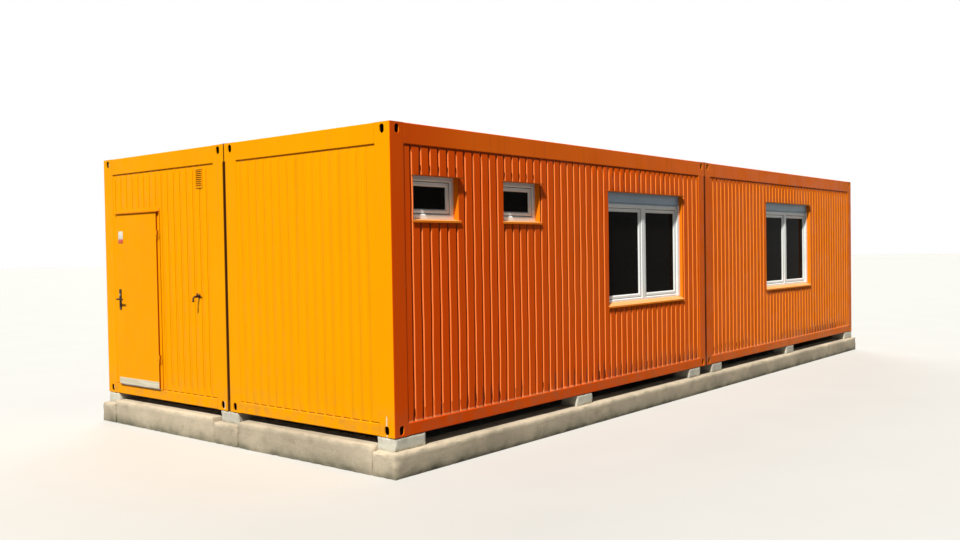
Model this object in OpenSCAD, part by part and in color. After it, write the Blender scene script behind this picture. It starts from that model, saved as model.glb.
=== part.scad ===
// Cabin made of four steel office modules on concrete strips.
// +X runs along the long sides, -X is the door end, -Y is the side with the small windows.
// The origin is the centre of the plan, on the underside of the foundation.

/* [Modules] */
// Length of one module
module_l = 6055; // [5000:5:7300]
// Width of one module
module_w = 2435; // [2000:5:2950]
// Height of one module
module_h = 2791; // [2680:1:3400]
// Gap between neighbouring modules
module_gap = 10; // [6:1:16]

/* [Steel frame] */
// Length of a corner fitting
fitting_l = 178; // [150:1:215]
// Width of a corner fitting
fitting_w = 200; // [165:1:240]
// Wall of a corner fitting
fitting_wall = 12; // [8:1:20]
// Width of a fitting's slot
slot_w = 56; // [40:1:68]
// Height of a fitting's slot
slot_h = 84; // [70:1:92]
// Distance from a module's top to the middle of the upper slots
slot_rise = 60; // [52:1:64]
// How far a post stands back where it faces the next module
post_setback = 12; // [8:1:16]
// Sheet of the posts and rails
frame_sheet = 4; // [3:0.5:6]
// Height of a roof rail and of the upper corner fittings
roof_rail_h = 190; // [158:1:228]
// Height of a floor rail and of the lower corner fittings
floor_rail_h = 114; // [100:1:137]
// Depth of the rails, from the outside inwards
rail_d = 120; // [116:1:140]
// Lip at the open side of a rail
rail_lip = 30; // [20:1:36]
// Outer bend radius of the rails and posts
bend_r = 8; // [7:1:12]

/* [Walls] */
// How far the cladding stands back from the frame
wall_recess = 8; // [6:1:12]
// Thickness of a wall from its outer to its inner face
wall_t = 108; // [92:1:110]
// How far the seam seals stand back from the frame
seal_recess = 5; // [3:1:8]
// Distance from one groove of the cladding to the next
groove_pitch = 123.3; // [103:0.1:147]
// Width of a groove at the outer face
groove_w = 34; // [28:1:41]
// Width of a groove's sloping side
groove_slope = 6; // [4:1:10]
// Depth of a groove
groove_depth = 12; // [8:1:16]
// Width of the sloping side of a groove in an end wall
end_groove_slope = 9; // [6:1:12]
// Depth of a groove in an end wall
end_groove_depth = 5; // [4:1:8]
// Sheet of the cladding
cladding_t = 1.5; // [1:0.1:2]
// From the post to the first groove on a long side
side_groove_start = 91; // [60:1:120]
// From the post to the first groove on an end
end_groove_start = 124; // [60:1:150]
// Space between a piece of the wall and its neighbour
joint = 0.5; // [0.3:0.1:0.8]

/* [Floor and roof] */
// Thickness of the floor deck
deck_t = 28; // [22:1:34]
// Thickness of the insulated tray under the floor
tray_t = 96; // [70:1:98]
// Thickness of the insulated ceiling panels
ceiling_t = 130; // [100:1:140]
// Distance from one rib of the roof sheet to the next
roof_pitch = 250; // [208:1:300]
// Height of a roof rib
roof_rib_h = 20; // [12:1:24]
// Width of the cover strips over the joints
cover_w = 110; // [90:1:130]
// Thickness of the cover strips over the joints
cover_t = 3; // [2:0.5:4]

/* [Large windows] */
// Width of a large window
large_w = 1830; // [1525:5:2196]
// Height of a large window with its shutter box
large_h = 1360; // [1130:5:1500]
// Height of a large window above the module's underside
large_z = 950; // [800:5:1080]
// From the near module's far end to its large window
large_from_end = 645; // [540:5:770]
// Height of the shutter box's front
shutter_h = 126; // [105:1:150]
// Depth of the shutter box
shutter_d = 130; // [100:1:150]
// Height of the dark gap between the shutter box and the window frame
shutter_gap = 15; // [13:1:18]
// Width of a shutter guide
guide_w = 40; // [33:1:46]
// Depth of a shutter guide
guide_d = 22; // [18:1:26]
// Height of a large window's frame above the lower edge of its opening
large_frame_z = 28; // [24:1:34]
// Rise of a large window's sill at the frame
large_sill_rise = 42; // [36:1:48]
// Reach of a large window's head flashing in front of the cladding
large_hood_reach = 29; // [24:1:35]

/* [Small windows] */
// Width of a small window
small_w = 620; // [520:5:740]
// Height of a small window
small_h = 415; // [350:5:500]
// Height of a small window above the module's underside
small_z = 1920; // [1650:5:2050]
// From the corner to the first small window
small_from_corner = 290; // [250:5:350]
// From one small window to the next
small_spacing = 1310; // [1100:5:1400]
// Height of a small window's frame above the lower edge of its opening
small_frame_z = 20; // [18:1:24]
// Rise of a small window's sill at the frame
small_sill_rise = 18; // [15:1:20]
// Reach of a small window's head flashing in front of the cladding
small_hood_reach = 43; // [36:1:52]

/* [Window parts] */
// How far a window frame stands back from the cladding
window_recess = 62; // [52:1:68]
// Depth of a window frame
frame_d = 60; // [54:1:66]
// Visible width of a window frame
frame_face = 48; // [42:1:57]
// How far a sash stands back from its frame
sash_recess = 12; // [8:1:16]
// Visible width of a sash
sash_face = 43; // [38:1:52]
// Width of the bevel at the inner edge of a frame or sash
bevel = 12; // [8:1:16]
// Visible width of the post between two sashes
mullion_face = 92; // [76:1:110]
// Thickness of the glazing
glass_t = 24; // [20:1:28]
// How far the glazing stands back from its window's frame
glass_recess = 30; // [26:1:34]
// Sheet of the window surrounds and sills
surround_t = 3; // [2:0.5:4]
// Height of a sill's turned-down lip
sill_lip = 20; // [16:1:24]
// Height of a head flashing's turned-down lip
hood_lip = 11; // [9:1:14]
// Fall of a head flashing from the wall to its lip
hood_fall = 4; // [3:1:6]
// Reach of a sill in front of the cladding
sill_reach = 17; // [14:1:22]
// Side overhang of the sill and head flashing
sill_overhang = 22; // [18:1:28]

/* [Door] */
// Width of the door leaf
leaf_w = 854; // [712:1:1024]
// Height of the door leaf
leaf_h = 1995; // [1680:1:2240]
// Thickness of the door leaf
leaf_t = 50; // [42:1:56]
// How far the door frame stands in front of the cladding
portal_proud = 12; // [9:1:15]
// Width of the leaf's lip over the door frame
leaf_lip = 14; // [12:1:16]
// Thickness of the leaf's lip
lip_t = 14; // [11:1:16]
// Running gap between the lip and the door frame's face
lip_gap = 5; // [5:0.5:7]
// Reach of the drip strip over the door, in front of the leaf
drip_reach = 14; // [11:1:17]
// From the rear corner to the leaf's closing edge
door_from_corner = 304; // [270:1:360]
// Running gap round the leaf
leaf_gap = 6; // [5:0.5:8]
// Width of the door frame's face
jamb_face = 52; // [48:1:62]
// Width of the stop behind the leaf
stop_w = 16; // [12:1:20]
// Space between the leaf and its stop
stop_gap = 8; // [6:0.5:10]
// Height of the threshold plate
threshold_h = 10; // [8:1:12]
// Height of the kick plate
kick_h = 74; // [62:1:89]
// Radius of a hinge barrel
hinge_r = 8.5; // [7:0.5:9]
// Radius of a hinge pin
pin_r = 5; // [4:0.5:5.5]
// Height of the lower hinge above the module's underside
low_hinge_z = 460; // [380:5:560]
// Height of the upper hinge above the module's underside
high_hinge_z = 1872; // [1600:1:1950]
// Height of the lever's spindle above the module's underside
lever_z = 1130; // [940:5:1200]
// Length of the lever
lever_l = 125; // [105:1:150]

/* [Fittings on the door end] */
// From the seam to the middle of the vent grille
vent_from_seam = 458; // [400:1:520]
// Width of the vent grille
vent_w = 122; // [102:1:146]
// Height of the vent grille
vent_h = 210; // [175:1:230]
// Height of the grille's middle above the module's underside
vent_z = 2460; // [2300:5:2480]
// From the seam to the water tap
tap_from_seam = 495; // [412:1:580]
// Height of the tap above the module's underside
tap_z = 1190; // [990:5:1430]

/* [Foundation] */
// Height of the strips under the long sides
strip_h = 230; // [190:1:276]
// Height of the strips under the ends
end_strip_h = 275; // [230:1:310]
// Width of the outer strips
strip_w = 300; // [250:1:360]
// Width of the middle strip
middle_strip_w = 420; // [350:1:500]
// How far the strips stand out in front of the walls
strip_reach = 60; // [50:1:72]
// Height of the bearing blocks
block_h = 120; // [100:1:144]
// Length of a bearing block at a corner
corner_block_l = 400; // [330:5:480]
// Length of a bearing block between corners
block_l = 320; // [260:5:380]
// Width of a bearing block
block_w = 230; // [190:1:235]

/* [Hidden] */
$fn = 48;
e = 1;

total_l = 2 * module_l + module_gap;
total_w = 2 * module_w + module_gap;
module_z = strip_h + block_h;
post_l = fitting_l - 3;
post_w = fitting_w - 2;
post_low = floor_rail_h;
post_high = module_h - roof_rail_h;
wall_low = floor_rail_h;
wall_high = module_h - roof_rail_h;
wall_in = wall_recess + wall_t;
core_out = wall_recess + groove_depth + cladding_t + joint;
deck_z = floor_rail_h + deck_t;
window_d = wall_recess + window_recess;
leaf_z = wall_low + threshold_h + leaf_gap;
leaf_a = module_w - door_from_corner - leaf_w;
portal_d = wall_recess - portal_proud;
leaf_d = portal_d - lip_gap - lip_t;
door_a = leaf_a + leaf_lip - leaf_gap;
door_w = leaf_w - 2 * leaf_lip + 2 * leaf_gap;
door_top = leaf_z + leaf_h - leaf_lip + leaf_gap;
stop_d = leaf_d + leaf_t + stop_gap;
seat = 0.3;
hinge_d = portal_d - hinge_r - seat;
hinge_a = leaf_a - hinge_r - leaf_gap;
lever_a = leaf_a + leaf_w - 64;

// Windows: module along X, distance from that module's low end
large_windows = [[0, module_l - large_from_end - large_w], [1, (module_l - large_w) / 2]];
small_windows = [[0, small_from_corner], [0, small_from_corner + small_spacing]];

// Holes of a wall: low and high end, low and high edge
function window_hole(a, w, z, h) =
    [a - surround_t - joint, a + w + surround_t + joint, z - surround_t - joint, z + h + surround_t + joint];
function large_hole(a) = window_hole(a, large_w, large_z, large_h);
function small_hole(a) = window_hole(a, small_w, small_z, small_h);
function front_holes(i) = i == 0
    ? [small_hole(small_windows[0][1]), small_hole(small_windows[1][1]), large_hole(large_windows[0][1])]
    : [large_hole(large_windows[1][1])];
function rear_holes(i) = [large_hole(large_windows[i][1])];
door_hole = [
    door_a - jamb_face - joint, door_a + door_w + jamb_face + joint, 0, door_top + jamb_face + joint,
];

module at_module(i, j) {
    translate([i == 0 ? -total_l / 2 : module_gap / 2, j == 0 ? -total_w / 2 : module_gap / 2, module_z])
        children();
}

module each_module() {
    for (i = [0, 1]) for (j = [0, 1]) at_module(i, j) children();
}

module each_corner() {
    for (a = [0, 1]) for (b = [0, 1])
        translate([a * module_l, b * module_w, 0]) mirror([a, 0, 0]) mirror([0, b, 0]) children();
}

// A wall's own frame: first along the wall, then the depth behind the frame's face, then the height
module on_side(i, j) {
    at_module(i, j)
        translate([0, j * module_w, 0]) mirror([0, j, 0]) children();
}

module on_end(i, j) {
    at_module(i, j)
        translate([i * module_l, 0, 0]) mirror([i, 0, 0]) mirror([1, -1, 0]) children();
}

module rounded_rect(w, h, r) {
    translate([r, 0]) square([w - 2 * r, h]);
    translate([0, r]) square([w, h - 2 * r]);
    for (x = [r, w - r]) for (y = [r, h - r]) translate([x, y]) circle(r);
}

module stadium(w, h) {
    translate([-w / 2, -(h - w) / 2]) square([w, h - w]);
    for (y = [-1, 1]) translate([0, y * (h - w) / 2]) circle(w / 2);
}

module channel(w, h) {
    difference() {
        rounded_rect(w, h, bend_r);
        translate([frame_sheet, frame_sheet])
            rounded_rect(w - 2 * frame_sheet, h - 2 * frame_sheet, bend_r - frame_sheet);
        translate([w - frame_sheet - e, rail_lip]) square([frame_sheet + 2 * e, h - 2 * rail_lip]);
    }
}

// Foundation
module long_foundation_strips() {
    color([0.63, 0.58, 0.47]) {
        for (s = [-1, 1]) translate([0, s * (total_w / 2 + strip_reach - strip_w / 2), 0])
            strip(total_l + 2 * strip_reach, strip_w, strip_h);
        strip(total_l + 2 * strip_reach, middle_strip_w, strip_h);
    }
}

module strip(l, w, h) {
    translate([-l / 2, -w / 2, 0]) cube([l, w, h]);
}

module end_foundation_strips() {
    inner = total_w / 2 + strip_reach - strip_w - joint;
    start = middle_strip_w / 2 + joint;
    color([0.63, 0.58, 0.47])
        for (s = [-1, 1]) for (t = [-1, 1])
            translate([s * (total_l / 2 + strip_reach - strip_w / 2), t * (inner + start) / 2, 0])
                strip(strip_w, inner - start, end_strip_h);
}

module bearing_blocks() {
    mid = module_gap / 2 + module_l / 2;
    color([0.7, 0.7, 0.63])
        for (s = [-1, 1]) {
            for (t = [-1, 1]) translate([0, t * (total_w / 2 - block_w / 2), 0]) block_row(s, mid, block_w);
            block_row(s, mid, middle_strip_w - 2 * strip_reach);
        }
}

module block_row(s, mid, w) {
    far = total_l / 2 - corner_block_l / 2;
    for (b = [[far, corner_block_l], [mid, block_l], [fitting_l + block_l / 2, block_l]])
        translate([s * b[0], 0, strip_h]) strip(b[1], w, block_h);
}

// Steel frame
module fitting(h, slot_z, hole_z) {
    difference() {
        linear_extrude(h) rounded_rect(fitting_l, fitting_w, bend_r);
        translate([fitting_wall, fitting_wall, fitting_wall])
            cube([fitting_l - 2 * fitting_wall, fitting_w - 2 * fitting_wall, h - 2 * fitting_wall]);
        translate([fitting_l / 2, fitting_wall + e, slot_z]) rotate([90, 0, 0])
            linear_extrude(fitting_wall + 2 * e) stadium(slot_w, slot_h);
        translate([-e, fitting_w / 2, slot_z]) rotate([90, 0, 90])
            linear_extrude(fitting_wall + 2 * e) stadium(slot_w, slot_h);
        translate([fitting_l / 2, fitting_w / 2, hole_z - e])
            linear_extrude(fitting_wall + 2 * e) stadium(slot_w, slot_h + 30);
    }
}

module low_corner_fittings() {
    color([0.62, 0.24, 0.03])
        each_module() each_corner() fitting(floor_rail_h, floor_rail_h / 2, 0);
}

module high_corner_fittings() {
    color([0.93, 0.5, 0.03])
        each_module() each_corner() translate([0, 0, module_h - roof_rail_h])
            fitting(roof_rail_h, roof_rail_h - slot_rise, roof_rail_h - fitting_wall);
}

module post(back_l, back_w) {
    l = post_l - back_l;
    w = post_w - back_w;
    translate([back_l, back_w, post_low]) linear_extrude(post_high - post_low) difference() {
        rounded_rect(l, w, bend_r);
        translate([frame_sheet, frame_sheet])
            rounded_rect(l - 2 * frame_sheet, w - 2 * frame_sheet, bend_r - frame_sheet);
    }
}

// A post is flush with the fittings outside and stands back from them at the seams
module corner_posts() {
    color([0.93, 0.5, 0.03])
        for (i = [0, 1]) for (j = [0, 1]) at_module(i, j) for (a = [0, 1]) for (b = [0, 1])
            translate([a * module_l, b * module_w, 0]) mirror([a, 0, 0]) mirror([0, b, 0])
                post(a == i ? 0 : post_setback, b == j ? 0 : post_setback);
}

module long_rails(h) {
    each_module() for (b = [0, 1])
        translate([fitting_l, b * module_w, 0]) mirror([0, b, 0]) rotate([90, 0, 90])
            linear_extrude(module_l - 2 * fitting_l) channel(rail_d, h);
}

module end_rails(h) {
    each_module() for (a = [0, 1])
        translate([a * module_l, module_w - fitting_w, 0]) mirror([a, 0, 0]) rotate([90, 0, 0])
            linear_extrude(module_w - 2 * fitting_w) channel(rail_d, h);
}

module long_floor_rails() { color([0.62, 0.24, 0.03]) long_rails(floor_rail_h); }

module end_floor_rails() { color([0.93, 0.5, 0.03]) end_rails(floor_rail_h); }

module long_roof_rails() {
    color([0.93, 0.5, 0.03]) translate([0, 0, module_h - roof_rail_h]) long_rails(roof_rail_h);
}

module end_roof_rails() {
    color([0.93, 0.5, 0.03]) translate([0, 0, module_h - roof_rail_h]) end_rails(roof_rail_h);
}

// Floor and roof
module between_rails(l, w) {
    difference() {
        translate([rail_d + joint, rail_d + joint])
            square([module_l - 2 * (rail_d + joint), module_w - 2 * (rail_d + joint)]);
        for (a = [0, module_l]) for (b = [0, module_w])
            translate([a - l - joint, b - w - joint]) square([2 * (l + joint), 2 * (w + joint)]);
    }
}

module underfloor_trays() {
    color([0.45, 0.46, 0.47])
        each_module() translate([0, 0, (floor_rail_h - tray_t) / 2])
            linear_extrude(tray_t) between_rails(fitting_l, fitting_w);
}

// A deck reaches the walls' inner faces outside and the seams inside
module floor_decks() {
    out = wall_in + joint;
    color([0.5, 0.5, 0.48])
        for (i = [0, 1]) for (j = [0, 1]) at_module(i, j)
            translate([0, 0, floor_rail_h]) linear_extrude(deck_t) difference() {
                translate([i == 0 ? out : joint, j == 0 ? out : joint])
                    square([module_l - out - joint, module_w - out - joint]);
                for (a = [0, module_l]) for (b = [0, module_w])
                    translate([a - post_l - joint, b - post_w - joint])
                        square([2 * (post_l + joint), 2 * (post_w + joint)]);
            }
}

module floor_joint_strips() {
    along = module_l - 2 * post_l - 4 * joint;
    across = module_w - 2 * post_w - 4 * joint;
    color([0.6, 0.6, 0.6]) translate([0, 0, module_z + deck_z]) {
        for (s = [-1, 1]) translate([s * (module_gap + module_l) / 2, 0, 0]) strip(along, cover_w, cover_t);
        for (s = [-1, 1]) translate([0, s * (module_gap + module_w) / 2, 0]) strip(cover_w, across, cover_t);
    }
}

module ceiling_panels() {
    color([0.9, 0.9, 0.88])
        each_module() translate([0, 0, module_h - roof_rail_h + frame_sheet / 2])
            linear_extrude(ceiling_t) between_rails(fitting_l, fitting_w);
}

function rib_points(c, z) =
    [[c - 30, z], [c - 15, z + roof_rib_h], [c + 15, z + roof_rib_h], [c + 30, z]];

module roof_sheets() {
    start = rail_d + joint;
    end = module_l - start;
    ribs = floor((end - start - 100) / roof_pitch);
    first = (module_l - ribs * roof_pitch) / 2;
    line = [[start, 0], for (k = [0 : ribs]) each rib_points(first + k * roof_pitch, 0), [end, 0]];
    sheet = concat(line, [for (k = [len(line) - 1 : -1 : 0]) [line[k][0], line[k][1] + cladding_t]]);
    roof_z = module_h - roof_rail_h + frame_sheet / 2 + ceiling_t;
    color([0.72, 0.73, 0.74])
        each_module() difference() {
            translate([0, module_w - start, roof_z]) rotate([90, 0, 0])
                linear_extrude(module_w - 2 * start) polygon(sheet);
            for (a = [0, module_l]) for (b = [0, module_w])
                translate([a - fitting_l - joint, b - fitting_w - joint, roof_z - e])
                    cube([2 * (fitting_l + joint), 2 * (fitting_w + joint), roof_rib_h + 2 * e]);
        }
}

module cover_profile() {
    translate([-cover_w / 2, 0]) square([cover_w, cover_t]);
    translate([-(module_gap / 2 - joint), -30]) square([module_gap - 2 * joint, 30 + e]);
}

module roof_joint_covers() {
    half = (total_w - cover_w) / 2 - joint;
    color([0.72, 0.73, 0.74]) translate([0, 0, module_z + module_h]) {
        translate([-total_l / 2, 0, 0]) rotate([90, 0, 90]) linear_extrude(total_l) cover_profile();
        for (s = [-1, 1]) translate([0, s > 0 ? total_w / 2 : -total_w / 2 + half, 0]) rotate([90, 0, 0])
            linear_extrude(half) cover_profile();
    }
}

// Hollow seals with a rounded front, between the posts at the seams
module seam_seals() {
    w = module_gap + 2 * post_setback - 2 * joint;
    d = 44;
    r = 12;
    wall = 5;
    color([0.05, 0.05, 0.05]) translate([0, 0, module_z + post_low])
        for (turn = [0 : 3]) rotate([0, 0, 90 * turn])
            translate([-w / 2, -(turn % 2 == 0 ? total_w : total_l) / 2 + seal_recess, 0])
                linear_extrude(post_high - post_low) difference() {
                    rounded_rect(w, d, r);
                    translate([wall, wall]) rounded_rect(w - 2 * wall, d - 2 * wall, r - wall);
                }
}

// Walls
module slabs(a, b, holes) {
    n = len(holes);
    for (k = [0 : n]) {
        low = k == 0 ? a : holes[k - 1][1];
        high = k == n ? b : holes[k][0];
        if (high - low > 2) slab(low, high, wall_low, wall_high);
    }
    for (hole = holes) {
        if (hole[2] > wall_low + 2) slab(hole[0], hole[1], wall_low, hole[2]);
        slab(hole[0], hole[1], hole[3], wall_high);
    }
}

module slab(a, b, low, high) {
    translate([a + joint / 2, core_out, low + joint / 2])
        cube([b - a - joint, wall_in - core_out, high - low - joint]);
}

module front_wall_panels() {
    color([0.88, 0.86, 0.8])
        for (i = [0, 1]) on_side(i, 0) slabs(post_l, module_l - post_l, front_holes(i));
}

module rear_wall_panels() {
    color([0.88, 0.86, 0.8])
        for (i = [0, 1]) on_side(i, 1) slabs(post_l, module_l - post_l, rear_holes(i));
}

module door_end_wall_panels() {
    color([0.88, 0.86, 0.8]) {
        on_end(0, 0) slabs(post_w, module_w - post_w, []);
        on_end(0, 1) slabs(post_w, module_w - post_w, [door_hole]);
    }
}

module far_end_wall_panels() {
    color([0.88, 0.86, 0.8])
        for (j = [0, 1]) on_end(1, j) slabs(post_w, module_w - post_w, []);
}

// The line of the folded sheet round a groove: its middle, sloping side and depth
function groove_points(c, slope, deep) = [
    [c - groove_w / 2, wall_recess], [c - groove_w / 2 + slope, wall_recess + deep],
    [c + groove_w / 2 - slope, wall_recess + deep], [c + groove_w / 2, wall_recess],
];

module cladding(a, b, start, slope, deep, holes) {
    low = a + joint;
    high = b - joint;
    n = floor((high - low - start - groove_w) / groove_pitch);
    line = [
        [low, wall_recess],
        for (k = [0 : n]) each groove_points(a + start + k * groove_pitch, slope, deep),
        [high, wall_recess],
    ];
    sheet = concat(line, [for (k = [len(line) - 1 : -1 : 0]) [line[k][0], line[k][1] + cladding_t]]);
    difference() {
        translate([0, 0, wall_low + joint]) linear_extrude(wall_high - wall_low - 2 * joint) polygon(sheet);
        for (hole = holes)
            translate([hole[0], 0, hole[2]]) cube([hole[1] - hole[0], wall_in, hole[3] - hole[2]]);
    }
}

module side_cladding(holes) {
    cladding(post_l, module_l - post_l, side_groove_start, groove_slope, groove_depth, holes);
}

module end_cladding(holes) {
    cladding(post_w, module_w - post_w, end_groove_start, end_groove_slope, end_groove_depth, holes);
}

module front_wall_cladding() {
    color([0.85, 0.36, 0.05]) for (i = [0, 1]) on_side(i, 0) side_cladding(front_holes(i));
}

module rear_wall_cladding() {
    color([0.85, 0.36, 0.05]) for (i = [0, 1]) on_side(i, 1) side_cladding(rear_holes(i));
}

module door_end_cladding() {
    color([0.95, 0.55, 0.03]) {
        on_end(0, 0) end_cladding([]);
        on_end(0, 1) end_cladding([door_hole]);
    }
}

module far_end_cladding() {
    color([0.95, 0.55, 0.03]) for (j = [0, 1]) on_end(1, j) end_cladding([]);
}

// Windows
module each_large() {
    for (j = [0, 1]) for (w = large_windows) on_side(w[0], j) translate([w[1], 0, large_z]) children();
}

module each_small() {
    for (w = small_windows) on_side(w[0], 0) translate([w[1], 0, small_z]) children();
}

// A shape drawn by depth and height, drawn out along the wall
module along(l) {
    rotate([90, 0, 90]) linear_extrude(l) children();
}

// The folded sheets round an opening: head with its flashing, foot and two jambs
module surround(w, h, hood_reach) {
    t = surround_t;
    back = window_d + t;
    front = wall_recess - hood_reach;
    translate([-t, wall_recess - e, h]) cube([w + 2 * t, back - wall_recess + e, t]);
    translate([-sill_overhang, 0, h]) along(w + 2 * sill_overhang) polygon([
        [wall_recess, 0], [wall_recess, t], [front, t - hood_fall], [front, t - hood_fall - hood_lip],
        [front + t, t - hood_fall - hood_lip], [front + t, -hood_fall],
    ]);
    translate([-t, wall_recess, -t]) cube([w + 2 * t, back - wall_recess, t]);
    for (a = [-t, w]) translate([a, wall_recess, joint]) cube([t, back - wall_recess, h - 2 * joint]);
}

module window_surrounds() {
    color([0.9, 0.42, 0.05]) {
        each_large() surround(large_w, large_h, large_hood_reach);
        each_small() surround(small_w, small_h, small_hood_reach);
    }
}

// A sloping sill with a turned-down front edge
module sill(w, rise) {
    t = surround_t;
    low = 4;
    front = wall_recess - sill_reach;
    back = wall_recess - seat;
    end = window_d - joint;
    step = low + (rise - low) * (back - front) / (end - front);
    translate([joint, 0, joint]) along(w - 2 * joint)
        polygon([[back - e, 0], [end, 0], [end, rise], [back - e, step]]);
    translate([-sill_overhang, 0, joint]) along(w + 2 * sill_overhang) polygon([
        [back, step], [front, low], [front, low - sill_lip], [front + t, low - sill_lip],
        [front + t, low - t], [back, step - t],
    ]);
}

module window_sills() {
    color([0.95, 0.5, 0.05]) {
        each_large() sill(large_w, large_sill_rise);
        each_small() sill(small_w, small_sill_rise);
    }
}

// A window profile with a bevel at its inner edge
module profile(l, face, low, high) {
    along(l) polygon([[low, 0], [high, 0], [high, face], [low + bevel, face], [low, face - bevel]]);
}

module ring(w, h, face, low, high) {
    for (k = [0, 1]) {
        translate([0, 0, k * h]) mirror([0, 0, k]) profile(w, face, low, high);
        translate([k * w, 0, 0]) mirror([k, 0, 0]) mirror([1, 0, -1]) profile(h, face, low, high);
    }
}

small_frame_w = small_w - 2 * joint;
small_frame_h = small_h - small_frame_z - joint;
large_frame_w = large_w - 2 * joint;
large_frame_h = large_h - shutter_h - shutter_gap - large_frame_z - joint;
light_w = (large_frame_w - 2 * frame_face - mullion_face) / 2;
light_h = large_frame_h - 2 * frame_face;

module small_window_frames() {
    color([0.92, 0.92, 0.93])
        each_small() translate([joint, 0, small_frame_z])
            ring(small_frame_w, small_frame_h, frame_face, window_d, window_d + frame_d);
}

module large_window_frames() {
    color([0.92, 0.92, 0.93])
        each_large() translate([joint, 0, large_frame_z]) {
            ring(large_frame_w, large_frame_h, frame_face, window_d, window_d + frame_d);
            translate([frame_face + light_w, window_d, frame_face - bevel])
                linear_extrude(light_h + 2 * bevel) polygon([
                    [0, frame_d], [0, bevel], [bevel, 0],
                    [mullion_face - bevel, 0], [mullion_face, bevel], [mullion_face, frame_d],
                ]);
        }
}

// The places inside the frames where the sashes sit
module each_small_light() {
    each_small() translate([joint + frame_face, 0, small_frame_z + frame_face]) children();
}

module each_large_light() {
    each_large() for (k = [0, 1])
        translate([joint + frame_face + k * (light_w + mullion_face), 0, large_frame_z + frame_face])
            children();
}

module sash(w, h) {
    translate([joint, 0, joint])
        ring(w - 2 * joint, h - 2 * joint, sash_face, window_d + sash_recess, window_d + frame_d);
}

module small_window_sashes() {
    color([0.88, 0.89, 0.91])
        each_small_light() sash(small_frame_w - 2 * frame_face, small_frame_h - 2 * frame_face);
}

module large_window_sashes() {
    color([0.88, 0.89, 0.91]) each_large_light() sash(light_w, light_h);
}

// The box over a large window, and the end bar of the raised shutter below it
module shutter_boxes() {
    proud = 13;
    chamfer = 6;
    bar_t = 11;
    bar_h = 8;
    front = window_d - proud;
    top = large_h - joint;
    low = large_h - shutter_h;
    lower = low - shutter_gap + 2 * joint;
    bar_w = large_w - 2 * (joint + guide_w + seat);
    color([0.75, 0.8, 0.85]) each_large() {
        translate([joint, 0, 0]) along(large_frame_w) polygon([
            [front, low + chamfer], [front, top], [front + shutter_d, top], [front + shutter_d, lower],
            [window_d + 1, lower], [window_d + 1, low], [front + chamfer, low],
        ]);
        translate([(large_w - bar_w) / 2, window_d - seat - bar_t, lower]) cube([bar_w, bar_t, bar_h]);
    }
}

// Guides with a groove for the shutter's slats
module shutter_guides() {
    low = large_sill_rise + 2 * joint;
    high = large_h - shutter_h - joint;
    groove = 10;
    wall = 4;
    color([0.85, 0.87, 0.9])
        each_large() for (k = [0, 1])
            translate([k * large_w, 0, 0]) mirror([k, 0, 0])
                translate([joint, window_d - joint - guide_d, low]) linear_extrude(high - low) difference() {
                    square([guide_w, guide_d]);
                    translate([guide_w / 2, wall]) square([guide_w, groove]);
                }
}

module pane(w, h) {
    inset = joint + sash_face + joint;
    translate([inset, window_d + glass_recess, inset])
        cube([w - 2 * inset, glass_t, h - 2 * inset]);
}

module window_glass() {
    color([0.1, 0.12, 0.13, 0.5]) {
        each_large_light() pane(light_w, light_h);
        each_small_light() pane(small_frame_w - 2 * frame_face, small_frame_h - 2 * frame_face);
    }
}

// Door, in the end wall's frame of the rear module
module on_door_wall() { on_end(0, 1) children(); }

module portal(side, top, low, high) {
    translate([door_a - side, low, wall_low]) difference() {
        cube([door_w + 2 * side, high - low, door_top + top - wall_low]);
        translate([side, -e, -e]) cube([door_w, high - low + 2 * e, door_top - wall_low + e]);
    }
}

// A sloping strip on the door frame's head that sheds rain in front of the leaf
module drip_strip() {
    inset = 6;
    edge = 4;
    rise = 12;
    front = leaf_d - drip_reach;
    back = portal_d - seat;
    translate([door_a - jamb_face + inset, 0, leaf_z + leaf_h + leaf_gap])
        along(door_w + 2 * jamb_face - 2 * inset)
            polygon([[front, 0], [back, 0], [back, rise], [front, edge]]);
}

module door_frame() {
    color([0.9, 0.48, 0.03]) on_door_wall() {
        drip_strip();
        portal(jamb_face, jamb_face, portal_d, wall_in);
        translate([door_a - jamb_face, stop_d, wall_low]) difference() {
            cube([door_w + 2 * jamb_face, wall_in - stop_d, door_top + jamb_face - wall_low]);
            translate([jamb_face + stop_w, -e, -e])
                cube([door_w - 2 * stop_w, wall_t, door_top - stop_w - wall_low + e]);
        }
    }
}

module door_threshold() {
    color([0.55, 0.56, 0.56]) on_door_wall()
        translate([0, 0, wall_low]) difference() {
            translate([door_a + joint, portal_d, 0])
                cube([door_w - 2 * joint, wall_in - portal_d, threshold_h]);
            for (a = [door_a, door_a + door_w - stop_w - joint])
                translate([a - e, stop_d - joint, -e])
                    cube([stop_w + joint + e, wall_t, threshold_h + 2 * e]);
        }
}

knuckle_h = 45;
strap_t = 3;

module barrel(z, h) {
    translate([hinge_a, hinge_d, z]) cylinder(h = h, r = hinge_r);
}

module frame_hinge_knuckles() {
    strap_w = 28;
    color([0.7, 0.35, 0.03]) on_door_wall()
        for (z = [low_hinge_z, high_hinge_z]) {
            barrel(z - knuckle_h, knuckle_h);
            translate([hinge_a - strap_w, portal_d - strap_t, z - knuckle_h])
                cube([strap_w, strap_t, knuckle_h]);
            translate([hinge_a, hinge_d, z - e]) cylinder(h = knuckle_h + e, r = pin_r);
        }
}

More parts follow.
